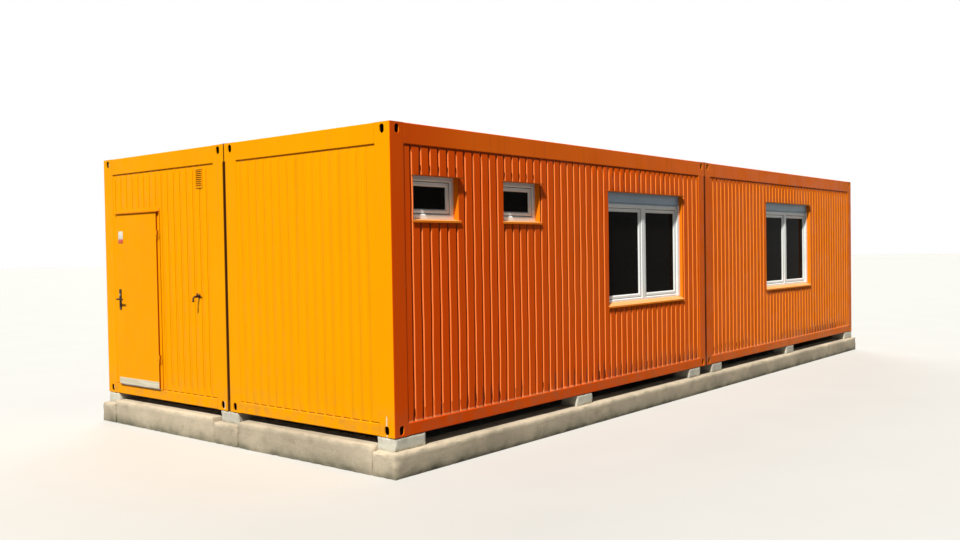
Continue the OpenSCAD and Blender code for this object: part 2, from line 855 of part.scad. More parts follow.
// A strap on the leaf's face, with a block from it to the barrel beside the leaf's edge
module leaf_hinge_knuckles() {
    cap = 3;
    strap_w = 50;
    strap_d = leaf_d - strap_t;
    color([0.7, 0.35, 0.03]) on_door_wall()
        for (z = [low_hinge_z, high_hinge_z]) difference() {
            union() {
                barrel(z + 1, knuckle_h + cap);
                translate([hinge_a, strap_d, z + 1]) cube([strap_w, strap_t, knuckle_h + cap]);
                translate([hinge_a, strap_d, z + 1])
                    cube([leaf_a - hinge_a, hinge_d - strap_d, knuckle_h + cap]);
            }
            translate([hinge_a, hinge_d, z]) cylinder(h = knuckle_h + 1, r = pin_r + 0.06);
        }
}

// A face plate whose lip covers the door frame, and the insulated core behind it
module door_leaf() {
    core_d = leaf_d + lip_t + seat;
    color([0.95, 0.55, 0.03]) on_door_wall() difference() {
        union() {
            translate([leaf_a, leaf_d, leaf_z]) cube([leaf_w, lip_t, leaf_h]);
            translate([leaf_a + leaf_lip, core_d, leaf_z])
                cube([leaf_w - 2 * leaf_lip, leaf_d + leaf_t - core_d, leaf_h - leaf_lip]);
        }
        translate([lever_a, leaf_d - e, lever_z]) rotate([-90, 0, 0]) cylinder(h = leaf_t + 2 * e, r = 8);
    }
}

module door_kick_plate() {
    inset = 3;
    plate_t = 3;
    color([0.8, 0.8, 0.8]) on_door_wall()
        translate([leaf_a + inset, leaf_d - plate_t, leaf_z]) cube([leaf_w - 2 * inset, plate_t, kick_h]);
}

module door_handle_plates() {
    plate_w = 42;
    plate_h = 240;
    plate_t = 8;
    color([0.08, 0.08, 0.08]) on_door_wall()
        for (d = [leaf_d - plate_t, leaf_d + leaf_t]) translate([lever_a, d, lever_z - 3]) difference() {
            rotate([-90, 0, 0]) linear_extrude(plate_t)
                translate([-plate_w / 2, -plate_h / 2]) rounded_rect(plate_w, plate_h, 10);
            translate([0, -e, 3]) rotate([-90, 0, 0]) cylinder(h = plate_t + 2 * e, r = 9.1);
        }
}

module door_lever() {
    plate_t = 8;
    grip_r = 9;
    reach = 44;
    out = leaf_d - plate_t - reach;
    in = leaf_d + leaf_t + plate_t + reach;
    color([0.08, 0.08, 0.08]) on_door_wall() translate([lever_a, 0, lever_z]) {
        translate([0, out, 0]) rotate([-90, 0, 0]) cylinder(h = in - out, r = 6);
        for (d = [out, leaf_d - plate_t, leaf_d + leaf_t, in - reach])
            translate([0, d, 0]) rotate([-90, 0, 0])
                cylinder(h = (d == out || d == in - reach) ? reach : plate_t, r = 9);
        for (d = [out, in]) {
            translate([0, d, 0]) sphere(grip_r);
            translate([-lever_l, d, 0]) rotate([0, 90, 0]) cylinder(h = lever_l, r = grip_r);
            translate([-lever_l, d, 0]) sphere(grip_r);
        }
    }
}

// Small fittings on the door end
module vent_grille() {
    t = 8;
    plate = 2;
    edge = 12;
    blades = 9;
    blade = 1.6;
    step = (vent_h - 2 * edge) / blades;
    color([0.85, 0.45, 0.03]) on_end(0, 1)
        translate([vent_from_seam - vent_w / 2, wall_recess - t, vent_z - vent_h / 2]) {
            difference() {
                cube([vent_w, t, vent_h]);
                translate([edge, -e, edge]) cube([vent_w - 2 * edge, t - plate + e, vent_h - 2 * edge]);
            }
            for (k = [0 : blades - 1]) translate([edge - e, 0, edge + k * step])
                along(vent_w - 2 * edge + 2 * e) polygon([
                    [0, step * 0.15], [blade, step * 0.15], [t - plate + 0.5, step * 0.75],
                    [t - plate + 0.5, step * 0.9], [blade, step * 0.35], [0, step * 0.35],
                ]);
        }
}

tap_bonnet_d = -22;

module water_tap() {
    bend = 22;
    tip = -50;
    color([0.25, 0.2, 0.12]) on_end(0, 1) translate([tap_from_seam, 0, tap_z]) {
        translate([0, wall_recess - 5, 0]) rotate([-90, 0, 0]) cylinder(h = 5, r = 24);
        translate([0, tip, 0]) rotate([-90, 0, 0]) cylinder(h = wall_recess - 4 - tip, r = 11);
        translate([0, tap_bonnet_d, 0]) cylinder(h = 24, r = 10);
        translate([0, tap_bonnet_d, 24 - e]) cylinder(h = 14, r = 4);
        translate([0, tip, -bend]) rotate([0, -90, 0]) rotate([0, 0, -90])
            rotate_extrude(angle = 90) translate([bend, 0]) circle(9);
        translate([0, tip - bend, -bend - 34]) cylinder(h = 34 + e, r = 9);
        translate([0, tip - bend, -bend - 34]) cylinder(h = 14, r = 12);
    }
}

module tap_lever() {
    color([0.3, 0.05, 0.04]) on_end(0, 1)
        translate([tap_from_seam, tap_bonnet_d, tap_z + 24 + seat]) difference() {
            union() {
                cylinder(h = 12, r = 9);
                translate([-58, -6, 4]) cube([58, 12, 5]);
            }
            translate([0, 0, -e]) cylinder(h = 14 + e, r = 4.06);
        }
}

long_foundation_strips();
end_foundation_strips();
bearing_blocks();
low_corner_fittings();
high_corner_fittings();
corner_posts();
long_floor_rails();
end_floor_rails();
long_roof_rails();
end_roof_rails();
underfloor_trays();
floor_decks();
floor_joint_strips();
ceiling_panels();
roof_sheets();
roof_joint_covers();
seam_seals();
front_wall_panels();
rear_wall_panels();
door_end_wall_panels();
far_end_wall_panels();
front_wall_cladding();
rear_wall_cladding();
door_end_cladding();
far_end_cladding();
window_surrounds();
window_sills();
small_window_frames();
small_window_sashes();
large_window_frames();
large_window_sashes();
shutter_boxes();
shutter_guides();
window_glass();
door_frame();
door_threshold();
frame_hinge_knuckles();
leaf_hinge_knuckles();
door_leaf();
door_kick_plate();
door_handle_plates();
door_lever();
vent_grille();
water_tap();
tap_lever();
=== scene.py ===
"""Looks of the modular cabin: finishes, small pieces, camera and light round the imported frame."""

import math

import bmesh
import bpy
import numpy as np
from mathutils import Matrix, Vector, noise


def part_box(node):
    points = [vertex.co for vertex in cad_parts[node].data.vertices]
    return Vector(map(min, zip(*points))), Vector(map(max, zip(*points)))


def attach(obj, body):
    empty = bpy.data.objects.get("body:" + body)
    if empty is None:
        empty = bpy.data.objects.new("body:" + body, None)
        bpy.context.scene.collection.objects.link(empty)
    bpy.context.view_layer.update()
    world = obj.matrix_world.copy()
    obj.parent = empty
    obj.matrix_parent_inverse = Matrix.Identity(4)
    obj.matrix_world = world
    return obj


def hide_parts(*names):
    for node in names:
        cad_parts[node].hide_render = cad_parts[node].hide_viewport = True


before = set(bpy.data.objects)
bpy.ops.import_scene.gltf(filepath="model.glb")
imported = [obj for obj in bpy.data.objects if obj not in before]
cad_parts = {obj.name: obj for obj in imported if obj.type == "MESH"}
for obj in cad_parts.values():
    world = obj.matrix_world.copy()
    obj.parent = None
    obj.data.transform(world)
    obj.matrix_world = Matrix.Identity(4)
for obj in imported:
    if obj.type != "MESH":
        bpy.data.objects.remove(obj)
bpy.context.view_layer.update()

# Sizes taken from the frame, in metres
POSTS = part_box("corner_posts")
LONG_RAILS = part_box("long_roof_rails")
FACE_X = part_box("end_roof_rails")[1].x
FACE_Y = LONG_RAILS[1].y
BASE_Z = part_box("long_floor_rails")[0].z
WALL_LOW = POSTS[0].z
WALL_HIGH = POSTS[1].z
TOP_Z = LONG_RAILS[1].z
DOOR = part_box("door_leaf")

# Each outer wall's own axes: along it, depth behind the frame's face, height
FRONT = Matrix(((1, 0, 0, 0), (0, 1, 0, -FACE_Y), (0, 0, 1, 0), (0, 0, 0, 1)))
REAR = Matrix(((1, 0, 0, 0), (0, -1, 0, FACE_Y), (0, 0, 1, 0), (0, 0, 0, 1)))
DOOR_END = Matrix(((0, 1, 0, -FACE_X), (1, 0, 0, 0), (0, 0, 1, 0), (0, 0, 0, 1)))
FAR_END = Matrix(((0, -1, 0, FACE_X), (1, 0, 0, 0), (0, 0, 1, 0), (0, 0, 0, 1)))


# Mesh helpers

SAME_PLACE = 1e-5
SMOOTH = 35


def islands(node):
    """The boxes of a CAD node's separate solids."""
    bm = bmesh.new()
    bm.from_mesh(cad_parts[node].data)
    bmesh.ops.remove_doubles(bm, verts=bm.verts, dist=SAME_PLACE)
    left = set(bm.verts)
    boxes = []
    while left:
        stack = [left.pop()]
        group = list(stack)
        while stack:
            vert = stack.pop()
            for edge in vert.link_edges:
                other = edge.other_vert(vert)
                if other in left:
                    left.remove(other)
                    stack.append(other)
                    group.append(other)
        points = np.array([v.co for v in group])
        boxes.append((Vector(points.min(0)), Vector(points.max(0))))
    bm.free()
    return sorted(boxes, key=lambda b: (round(b[0].x, 3), round(b[0].y, 3), round(b[0].z, 3)))


def in_wall(place, box):
    """A box of the row frame in a wall's own axes."""
    back = place.inverted()
    ends = [back @ box[0], back @ box[1]]
    return Vector(map(min, *ends)), Vector(map(max, *ends))


def put(name, mesh, finish, body="cabin", smooth=SMOOTH):
    """Puts a mesh into the scene, smooth apart from its sharp edges, and lets it ride on a body."""
    obj = bpy.data.objects.new(name, mesh)
    bpy.context.scene.collection.objects.link(obj)
    mesh.materials.clear()
    mesh.materials.append(finish)
    mesh.polygons.foreach_set("use_smooth", [True] * len(mesh.polygons))
    mesh.set_sharp_from_angle(angle=math.radians(smooth))
    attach(obj, body)
    return obj


def skin(part, rings):
    """Joins rings of points with faces and closes both ends."""
    sides = len(rings[0])
    for a, b in zip(rings, rings[1:]):
        for k in range(sides):
            n = (k + 1) % sides
            part.faces.new((a[k], a[n], b[n], b[k]))
    part.faces.new(list(reversed(rings[0])))
    part.faces.new(rings[-1])


class Piece:
    """A mesh of small closed solids, each placed by a matrix from its own axes to the row frame."""

    def __init__(self, name):
        self.name = name
        self.bm = bmesh.new()

    def take(self, part, place):
        bmesh.ops.transform(part, matrix=place, verts=part.verts)
        bmesh.ops.recalc_face_normals(part, faces=part.faces)
        mesh = bpy.data.meshes.new("part")
        part.to_mesh(mesh)
        part.free()
        self.bm.from_mesh(mesh)
        bpy.data.meshes.remove(mesh)

    def box(self, place, low, high, bevel=0.0, segments=2):
        part = bmesh.new()
        low, high = Vector(low), Vector(high)
        middle = Matrix.Translation((low + high) / 2)
        bmesh.ops.create_cube(part, size=1, matrix=middle @ Matrix.Diagonal((*(high - low), 1)))
        if bevel:
            bmesh.ops.bevel(part, geom=part.edges, offset=bevel, segments=segments, affect="EDGES",
                            profile=0.5)
        self.take(part, place)

    def lathe(self, place, outline, sides=24):
        """Turns an outline of (radius, height) points round the place's Z axis."""
        part = bmesh.new()
        step = 2 * math.pi / sides
        rings = [[part.verts.new((radius * math.cos(k * step), radius * math.sin(k * step), height))
                  for k in range(sides)] for radius, height in outline]
        skin(part, rings)
        self.take(part, place)

    def sweep(self, place, low, high, outline):
        """Runs an outline of (inset, depth) points round a rectangle, with mitred corners."""
        part = bmesh.new()
        turns = ((low[0], low[1], 1, 1), (high[0], low[1], -1, 1),
                 (high[0], high[1], -1, -1), (low[0], high[1], 1, -1))
        rings = [[part.verts.new((a + way_a * inset, depth, z + way_z * inset))
                  for inset, depth in outline] for a, z, way_a, way_z in turns]
        n = len(outline)
        for c in range(4):
            first, second = rings[c], rings[(c + 1) % 4]
            for k in range(n):
                m = (k + 1) % n
                part.faces.new((first[k], second[k], second[m], first[m]))
        self.take(part, place)

    def tube(self, place, points, radii, sides=10):
        """A round bar through points, with a radius at each."""
        part = bmesh.new()
        points = [Vector(p) for p in points]
        around = [2 * math.pi * s / sides for s in range(sides)]
        rings = []
        for k, (point, radius) in enumerate(zip(points, radii)):
            ahead = points[min(k + 1, len(points) - 1)] - points[max(k - 1, 0)]
            turn = ahead.to_track_quat("Z", "Y").to_matrix()
            ring = [Vector((radius * math.cos(t), radius * math.sin(t), 0)) for t in around]
            rings.append([part.verts.new(point + turn @ spot) for spot in ring])
        skin(part, rings)
        self.take(part, place)

    def done(self, finish, body="cabin", smooth=SMOOTH):
        mesh = bpy.data.meshes.new(self.name)
        self.bm.to_mesh(mesh)
        self.bm.free()
        return put(self.name, mesh, finish, body, smooth)


# Finishes

class Finish:
    """A node material made with short calls, laid out in the object's own axes, which are the row
    frame's at rest."""

    def __init__(self, name, roughness=0.5, metallic=0.0, specular=0.5):
        self.material = bpy.data.materials.new(name)
        self.material.use_nodes = True
        self.tree = self.material.node_tree
        self.shader = self.tree.nodes["Principled BSDF"]
        self.set("Roughness", roughness)
        self.set("Metallic", metallic)
        self.set("Specular IOR Level", specular)
        where = self.tree.nodes.new("ShaderNodeTexCoord")
        self.place = where.outputs["Object"]
        self.normal = where.outputs["Normal"]

    def set(self, socket, value):
        self.feed(self.shader.inputs[socket], value)

    def feed(self, socket, value):
        if isinstance(value, bpy.types.NodeSocket):
            self.tree.links.new(value, socket)
        elif isinstance(value, tuple) and len(value) == 3 and socket.type == "RGBA":
            socket.default_value = (*value, 1)
        else:
            socket.default_value = value

    def math(self, operation, *values):
        node = self.tree.nodes.new("ShaderNodeMath")
        node.operation = operation
        for socket, value in zip(node.inputs, values):
            self.feed(socket, value)
        return node.outputs[0]

    def times(self, *values):
        product = values[0]
        for value in values[1:]:
            product = self.math("MULTIPLY", product, value)
        return product

    def size(self, value):
        return self.math("ABSOLUTE", value)

    def split(self, vector):
        node = self.tree.nodes.new("ShaderNodeSeparateXYZ")
        self.feed(node.inputs[0], vector)
        return node.outputs

    def ramp(self, value, low, high, first=0.0, last=1.0):
        """Eases from one value to the other while the input goes from low to high."""
        node = self.tree.nodes.new("ShaderNodeMapRange")
        node.interpolation_type = "SMOOTHSTEP"
        for socket, given in zip(node.inputs, (value, low, high, first, last)):
            self.feed(socket, given)
        return node.outputs[0]

    def stretched(self, stretch, shift=0.0):
        node = self.tree.nodes.new("ShaderNodeMapping")
        self.feed(node.inputs["Vector"], self.place)
        node.inputs["Scale"].default_value = stretch
        node.inputs["Location"].default_value = (shift, shift * 0.7, shift * 0.3)
        return node.outputs[0]

    def noise(self, scale, detail=2.0, stretch=(1, 1, 1), shift=0.0, rough=0.5):
        node = self.tree.nodes.new("ShaderNodeTexNoise")
        self.feed(node.inputs["Vector"], self.stretched(stretch, shift))
        node.inputs["Scale"].default_value = scale
        node.inputs["Detail"].default_value = detail
        node.inputs["Roughness"].default_value = rough
        return node.outputs["Fac"]

    def cells(self, scale, output="Distance"):
        node = self.tree.nodes.new("ShaderNodeTexVoronoi")
        self.feed(node.inputs["Vector"], self.stretched((1, 1, 1)))
        node.inputs["Scale"].default_value = scale
        return node.outputs[output]

    def mix(self, share, a, b):
        node = self.tree.nodes.new("ShaderNodeMix")
        node.data_type = "RGBA"
        self.feed(node.inputs[0], share)
        self.feed(node.inputs[6], a)
        self.feed(node.inputs[7], b)
        return node.outputs[2]

    def stain(self, colour, tint, pattern, low, high, share):
        """Lays a tint over a colour, up to a share, where a pattern goes from low to high."""
        return self.mix(self.ramp(pattern, low, high, 0, share), colour, tint)

    def bump(self, height, distance, strength=1.0, normal=None):
        node = self.tree.nodes.new("ShaderNodeBump")
        node.inputs["Strength"].default_value = strength
        node.inputs["Distance"].default_value = distance
        self.feed(node.inputs["Height"], height)
        if normal is not None:
            self.feed(node.inputs["Normal"], normal)
        return node.outputs[0]

    def edges(self, radius):
        """The normal with rounded edges, and how near an edge a point is."""
        bevel = self.tree.nodes.new("ShaderNodeBevel")
        bevel.samples = 4
        bevel.inputs["Radius"].default_value = radius
        here = self.tree.nodes.new("ShaderNodeNewGeometry")
        dot = self.tree.nodes.new("ShaderNodeVectorMath")
        dot.operation = "DOT_PRODUCT"
        self.feed(dot.inputs[0], bevel.outputs[0])
        self.feed(dot.inputs[1], here.outputs["Normal"])
        return bevel.outputs[0], self.ramp(dot.outputs["Value"], 0.995, 0.8)


# Orange coating. Its pairs of colours are for the long sides and for the ends: a shaded copy and a
# lit copy of one paint, as painted shade and light

CLAD_DEPTH = FACE_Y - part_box("rear_wall_cladding")[1].y
WARM_TINT = (1.0, 0.62, 0.28, 1.0)
# Painted light: the long sides grow paler towards the far end
FAR_SIDE_LIGHT = (0.0, 0.075, -0.001)
# A paler tone for the long roof rails
RAIL_PALE_TONE = (0.92, 0.165, 0.006)
# Each pair below is a shaded copy for the long sides and a lit copy for the ends, as painted shade
# and light
CLOUDS = (0.82, 0.17, 0.012), (0.95, 0.42, 0.002)
PATCHES = (0.55, 0.07, 0.005), (0.86, 0.29, 0.002)
# Painted shade in the cladding's grooves, for the sides and for the ends
GROOVE_SHADE = (0.20, 0.028, 0.004), (0.66, 0.16, 0.003)
STREAKS = (0.30, 0.08, 0.02), (0.62, 0.22, 0.02)
# Painted highlight on the sides' groove flanks and on the ledge at their foot
FLANK_HIGHLIGHT = (1.0, 0.24, 0.06)
FAR_FLANK_HIGHLIGHT = (0.98, 0.29, 0.01)
LEDGE_HIGHLIGHT = (1.0, 0.36, 0.15)
# Painted shade: maroon in seams and hollows, lines under the rails, lines on the ends' groove
# flanks
SHADE_MAROON = (0.035, 0.005, 0.004)
RAIL_SHADE = (0.20, 0.022, 0.003)
FLANK_SHADE = (0.46, 0.09, 0.001)
SLOT_SHADE = (0.16, 0.012, 0.001)
PRIMER = (0.80, 0.62, 0.40)
EARTH = (0.30, 0.17, 0.08)
SPECK = (0.18, 0.08, 0.03)
CHIPPED = (0.22, 0.09, 0.04)
# Widths of the painted shade at the seams: the band on the posts, and its line on the rails
SEAM_SHADE = 0.031
SEAM_LINE = 0.012
SPLASH_HEIGHT = 0.40
WORN_EDGE = 0.003
WALL_MIDDLE = (WALL_LOW + WALL_HIGH) / 2
WALL_HALF = (WALL_HIGH - WALL_LOW) / 2

# Scrapes on the door end: middle along Y, middle height, half width, half height
SCRAPES = ((-2.339, 0.434, 0.008, 0.096),
           (0.080, 0.405, 0.014, 0.040),
           (0.007, 0.310, 0.010, 0.014))


class Coating(Finish):
    """Nodes of the orange coating, which know a point's place on the building and which way it
    faces, and paint light and shade by them.
    """

    def __init__(self, name, flanks):
        super().__init__(name, specular=0.05)
        self.set("Specular Tint", WARM_TINT)
        self.x, self.y, self.height = self.split(self.place)
        self.face_x, self.face_y, self.face_z = self.split(self.normal)
        self.depth_x = self.math("SUBTRACT", FACE_X, self.size(self.x))
        self.depth_y = self.math("SUBTRACT", FACE_Y, self.size(self.y))
        self.on_side = self.ramp(self.depth_x, 0.03, 0.05)
        self.toward_far_end = self.ramp(self.x, -FACE_X, FACE_X)
        self.end_light = self.end_light_share(flanks)

    def end_light_share(self, flanks):
        """How much of the ends' lit colour a point has, as painted light: all on what faces along X
        near an end and on the ends' cladding, and a given share on groove flanks and reveals along
        the sides, as painted highlight."""
        turned = self.ramp(self.size(self.face_x), 0.8, 0.98)
        near_end = self.ramp(self.depth_x, 0.05, 0.035)
        by_normal = self.times(turned, self.math("MULTIPLY_ADD", near_end, 1 - flanks, flanks))
        behind_frame = self.ramp(self.depth_x, 0.0003, 0.001)
        by_place = self.times(near_end, behind_frame, self.ramp(self.depth_y, 0.03, 0.04))
        return self.math("MAXIMUM", by_normal, by_place)

    def base(self, side, end):
        """The bare colour, as painted light and shade: shaded orange on the long sides, lit yellow
        on the ends, and paler towards the far end along the sides; paler still on the roof rails.
        """
        along = self.mix(self.toward_far_end, side, tuple(a + b for a, b in zip(side, FAR_SIDE_LIGHT)))
        on_rail = self.times(self.ramp(self.height, WALL_HIGH - 0.002, WALL_HIGH + 0.004),
                             self.ramp(self.depth_x, 0.1, 1.2))
        along = self.mix(self.times(on_rail, 0.75), along, RAIL_PALE_TONE)
        return self.mix(self.end_light, along, end)

    def faded(self, colour):
        """Broad clouds and smaller patches where the colour has gone paler or duller."""
        cloud = self.noise(0.5, detail=5)
        # The tints have a shaded copy for the sides and a lit copy for the ends, as painted light
        colour = self.stain(colour, self.mix(self.end_light, *CLOUDS), cloud, 0.38, 0.68, 0.22)
        patch = self.noise(2.6, detail=3, stretch=(1, 1, 0.45), shift=3.1)
        return self.stain(colour, self.mix(self.end_light, *PATCHES), patch, 0.45, 0.75, 0.14)

    def shaded_grooves(self, colour):
        # Painted shade, deep in the sides' grooves and faint in the ends'
        along_side = self.ramp(self.depth_y, CLAD_DEPTH + 0.002, CLAD_DEPTH + 0.008, 0, 0.85)
        along_end = self.ramp(self.depth_x, CLAD_DEPTH, CLAD_DEPTH + 0.005, 0, 0.05)
        share = self.mix(self.end_light, along_side, along_end)
        return self.mix(share, colour, self.mix(self.end_light, *GROOVE_SHADE))

    def shaded_seams(self, colour):
        """Painted shade in the seams between the modules: a wide band on the posts, a line on the
        rails.
        """
        seam = self.math("MINIMUM", self.size(self.x), self.size(self.y))
        band = self.times(self.ramp(seam, SEAM_SHADE, SEAM_SHADE - SEAM_LINE),
                          self.ramp(self.height, WALL_HIGH + 0.01, WALL_HIGH))
        line = self.ramp(seam, SEAM_LINE, 0.007)
        return self.mix(self.times(self.math("MAXIMUM", band, line), 0.92), colour, SHADE_MAROON)

    def shaded_hollows(self, colour):
        """Painted shade in the corner fittings' hollows, but not on what faces up in them."""
        off_middle = self.size(self.math("SUBTRACT", self.height, WALL_MIDDLE))
        in_frame = self.ramp(off_middle, WALL_HALF, WALL_HALF + 0.002)
        sunk = self.ramp(self.math("MINIMUM", self.depth_x, self.depth_y), 0.008, 0.0125)
        hollow = self.times(in_frame, sunk, self.ramp(self.face_z, 0.5, 0.3))
        return self.mix(self.times(hollow, 0.9), colour, SHADE_MAROON)

    def rail_shade_lines(self, colour, share):
        """Painted shade where the cladding's flats meet the roof rails, and the ends' floor rails.
        """
        flat = self.ramp(self.depth_x, CLAD_DEPTH + 0.003, CLAD_DEPTH + 0.001)
        foot = self.times(flat, self.ramp(self.height, WALL_LOW + 0.014, WALL_LOW + 0.005))
        head = self.times(self.math("MAXIMUM", flat, self.on_side),
                          self.ramp(self.height, WALL_HIGH - 0.018, WALL_HIGH - 0.008))
        return self.mix(self.times(self.math("MAXIMUM", foot, head), share), colour, RAIL_SHADE)

    def flank_shade_and_highlight(self, colour):
        """Painted shade on the ends' groove flanks, more of it on the rear module. The sides'
        flanks are paler than the flats, and so is the ledge at their foot: painted highlight."""
        flank = self.ramp(self.size(self.face_y), 0.22, 0.40)
        on_end = self.math("SUBTRACT", 1.0, self.on_side)
        shaded_flank = self.times(flank, on_end, self.ramp(self.y, -0.1, 0.1, 0.2, 0.55))
        colour = self.mix(shaded_flank, colour, FLANK_SHADE)
        turned = self.ramp(self.size(self.face_x), 0.5, 0.8)
        pale = self.mix(self.toward_far_end, FLANK_HIGHLIGHT, FAR_FLANK_HIGHLIGHT)
        colour = self.mix(self.times(turned, self.on_side, 0.9), colour, pale)
        lit_ledge = self.times(self.on_side, self.ramp(self.height, WALL_LOW + 0.018, WALL_LOW + 0.010))
        return self.mix(self.times(lit_ledge, 0.8), colour, LEDGE_HIGHLIGHT)

    def dirty(self, colour, dirt):
        """Rain streaks, splashed earth at the foot and specks."""
        streak = self.noise(13, detail=4, stretch=(1, 1, 0.03), shift=7.7)
        # The streaks' tint has a shaded copy for the sides and a lit copy for the ends, as painted
        # light
        runs = self.mix(self.end_light, *STREAKS)
        colour = self.stain(colour, runs, streak, 0.55, 0.8, 0.2 * dirt)
        low = self.ramp(self.height, BASE_Z + SPLASH_HEIGHT, BASE_Z)
        drops = self.ramp(self.noise(9, detail=6, shift=1.7), 0.38, 0.78, 0, 0.34 * dirt)
        colour = self.mix(self.times(low, drops), colour, EARTH)
        speck = self.noise(120, detail=1, shift=5.0)
        return self.stain(colour, SPECK, speck, 0.74, 0.78, 0.3 * dirt)

    def scraped(self, colour):
        """Bare primer where the coating of the door end is scraped off."""
        on_face = self.ramp(self.depth_x, 0.02, 0.01)
        for middle_y, middle_z, half_w, half_h in SCRAPES:
            off_y = self.size(self.math("SUBTRACT", self.y, middle_y))
            off_z = self.size(self.math("SUBTRACT", self.height, middle_z))
            off = self.math("MAXIMUM", self.math("DIVIDE", off_y, half_w),
                            self.math("DIVIDE", off_z, half_h))
            ragged = self.math("MULTIPLY_ADD", self.noise(70, detail=4), 0.8, off)
            colour = self.mix(self.times(on_face, self.ramp(ragged, 1.45, 1.3)), colour, PRIMER)
        return colour


def paint(name, side, end, dirt=1.0, wear=1.0, satin=0.42, flanks=0.5, lines=0.0, slots=0.0,
          scrapes=False, top=None, shade_below=None):
    """The orange coating on one kind of part. Lines and slots are the shares of painted shade along
    the cladding's edges and in the grille. Top is a colour for what faces up; the colour for what
    faces down is painted shade."""
    f = Coating(name, flanks)
    colour = f.shaded_grooves(f.faded(f.base(side, end)))
    colour = f.shaded_hollows(f.shaded_seams(colour))
    if top is not None:
        colour = f.mix(f.ramp(f.face_z, 0.6, 0.9), colour, top)
    if shade_below is not None:
        colour = f.mix(f.ramp(f.face_z, -0.5, -0.8), colour, shade_below)
    if slots:
        colour = f.mix(f.ramp(f.depth_x, 0.0025, 0.0045, 0, slots), colour, SLOT_SHADE)
    if lines:
        colour = f.flank_shade_and_highlight(f.rail_shade_lines(colour, lines))
    colour = f.dirty(colour, dirt)
    rounded, edge = f.edges(WORN_EDGE)
    chip = f.ramp(f.noise(60, detail=4, shift=9.0), 0.58, 0.66, 0, 0.8 * wear)
    colour = f.mix(f.times(edge, chip), colour, CHIPPED)
    if scrapes:
        colour = f.scraped(colour)
    f.set("Base Color", colour)
    gloss = f.noise(6, detail=4, shift=2.2)
    f.set("Roughness", f.ramp(gloss, 0.3, 0.7, satin - 0.06, satin + 0.14))
    peel = f.math("ADD", f.times(f.noise(260, detail=1), 0.05), f.noise(4.5, detail=2, shift=4.0))
    f.set("Normal", f.bump(peel, 0.0012, 0.6, rounded))
    return f.material


# Other finishes

PALE_SAND = (0.72, 0.70, 0.64)
DARK_SAND = (0.16, 0.14, 0.11)
AIR_HOLE = (0.12, 0.11, 0.09)
DAMP = (0.15, 0.15, 0.10)
DAMP_HEIGHT = 0.16
SPANGLE = (0.42, 0.44, 0.45), (0.52, 0.54, 0.55)
DULL_ZINC = (0.33, 0.33, 0.31)
RAIN_MARK = (0.26, 0.23, 0.18)
ZINC_SHINE = 0.55
DUST_SPECK = (0.3, 0.28, 0.24)
SHADED_GLASS = (0.006, 0.005, 0.004)
DUSTY_GLASS = (0.05, 0.045, 0.035)


def concrete(name, pale, grey, stain):
    """Cast concrete with clouds, air holes, grains of sand and damp at the foot."""
    f = Finish(name, roughness=0.9, specular=0.25)
    colour = f.mix(f.ramp(f.noise(1.6, detail=6), 0.35, 0.68), pale, grey)
    colour = f.stain(colour, stain, f.noise(7, detail=6, shift=3.3), 0.5, 0.75, 0.45)
    grain = f.noise(180, detail=3, rough=0.7)
    colour = f.stain(colour, PALE_SAND, grain, 0.45, 0.75, 0.5)
    colour = f.stain(colour, DARK_SAND, grain, 0.42, 0.25, 0.5)
    holes = f.ramp(f.cells(38), 0.16, 0.06)
    colour = f.mix(f.times(holes, 0.6), colour, AIR_HOLE)
    low = f.ramp(f.split(f.place)[2], DAMP_HEIGHT, 0.0)
    damp = f.times(low, f.ramp(f.noise(5, detail=5, shift=6.0), 0.3, 0.7, 0.2, 0.8))
    f.set("Base Color", f.mix(damp, colour, DAMP))
    uneven = f.math("ADD", grain, f.noise(24, detail=5))
    f.set("Normal", f.bump(f.math("SUBTRACT", uneven, f.times(holes, 0.8)), 0.004, 0.8))
    return f.material


def galvanised(name, edge=None):
    """Zinc-coated sheet with faint spangle, dull patches and rain marks. With an edge colour, it
    takes that colour and loses its shine where it hangs below the roof."""
    f = Finish(name, metallic=ZINC_SHINE, specular=0.4)
    shade = f.ramp(f.split(f.cells(45, output="Color"))[0], 0, 1)
    colour = f.mix(shade, *SPANGLE)
    colour = f.stain(colour, DULL_ZINC, f.noise(1.3, detail=6), 0.4, 0.7, 0.55)
    rain = f.noise(6, detail=5, stretch=(0.3, 1.4, 1))
    colour = f.stain(colour, RAIN_MARK, rain, 0.52, 0.75, 0.4)
    if edge is not None:
        below = f.ramp(f.split(f.place)[2], TOP_Z + 0.0006, TOP_Z)
        colour = f.mix(below, colour, edge)
        f.set("Metallic", f.ramp(below, 0, 1, ZINC_SHINE, 0.0))
    f.set("Base Color", colour)
    f.set("Roughness", f.ramp(shade, 0, 1, 0.42, 0.58))
    f.set("Normal", f.bump(f.noise(30, detail=3), 0.001, 0.5))
    return f.material


def plastic(name, base, dirty, roughness=0.34):
    """Window profile: a clean moulded face with rain dirt that gathers in faint runs."""
    f = Finish(name, specular=0.45)
    colour = f.stain(base, dirty, f.noise(2.2, detail=5), 0.4, 0.7, 0.35)
    runs = f.noise(30, detail=4, stretch=(1, 1, 0.06), shift=2.0)
    colour = f.stain(colour, dirty, runs, 0.55, 0.8, 0.35)
    colour = f.stain(colour, DUST_SPECK, f.noise(150, detail=1), 0.74, 0.8, 0.25)
    f.set("Base Color", colour)
    gloss = f.noise(12, detail=3)
    f.set("Roughness", f.ramp(gloss, 0.3, 0.7, roughness - 0.05, roughness + 0.1))
    rounded, _ = f.edges(0.0022)
    f.set("Normal", f.bump(f.noise(90, detail=2), 0.0004, 0.3, rounded))
    return f.material


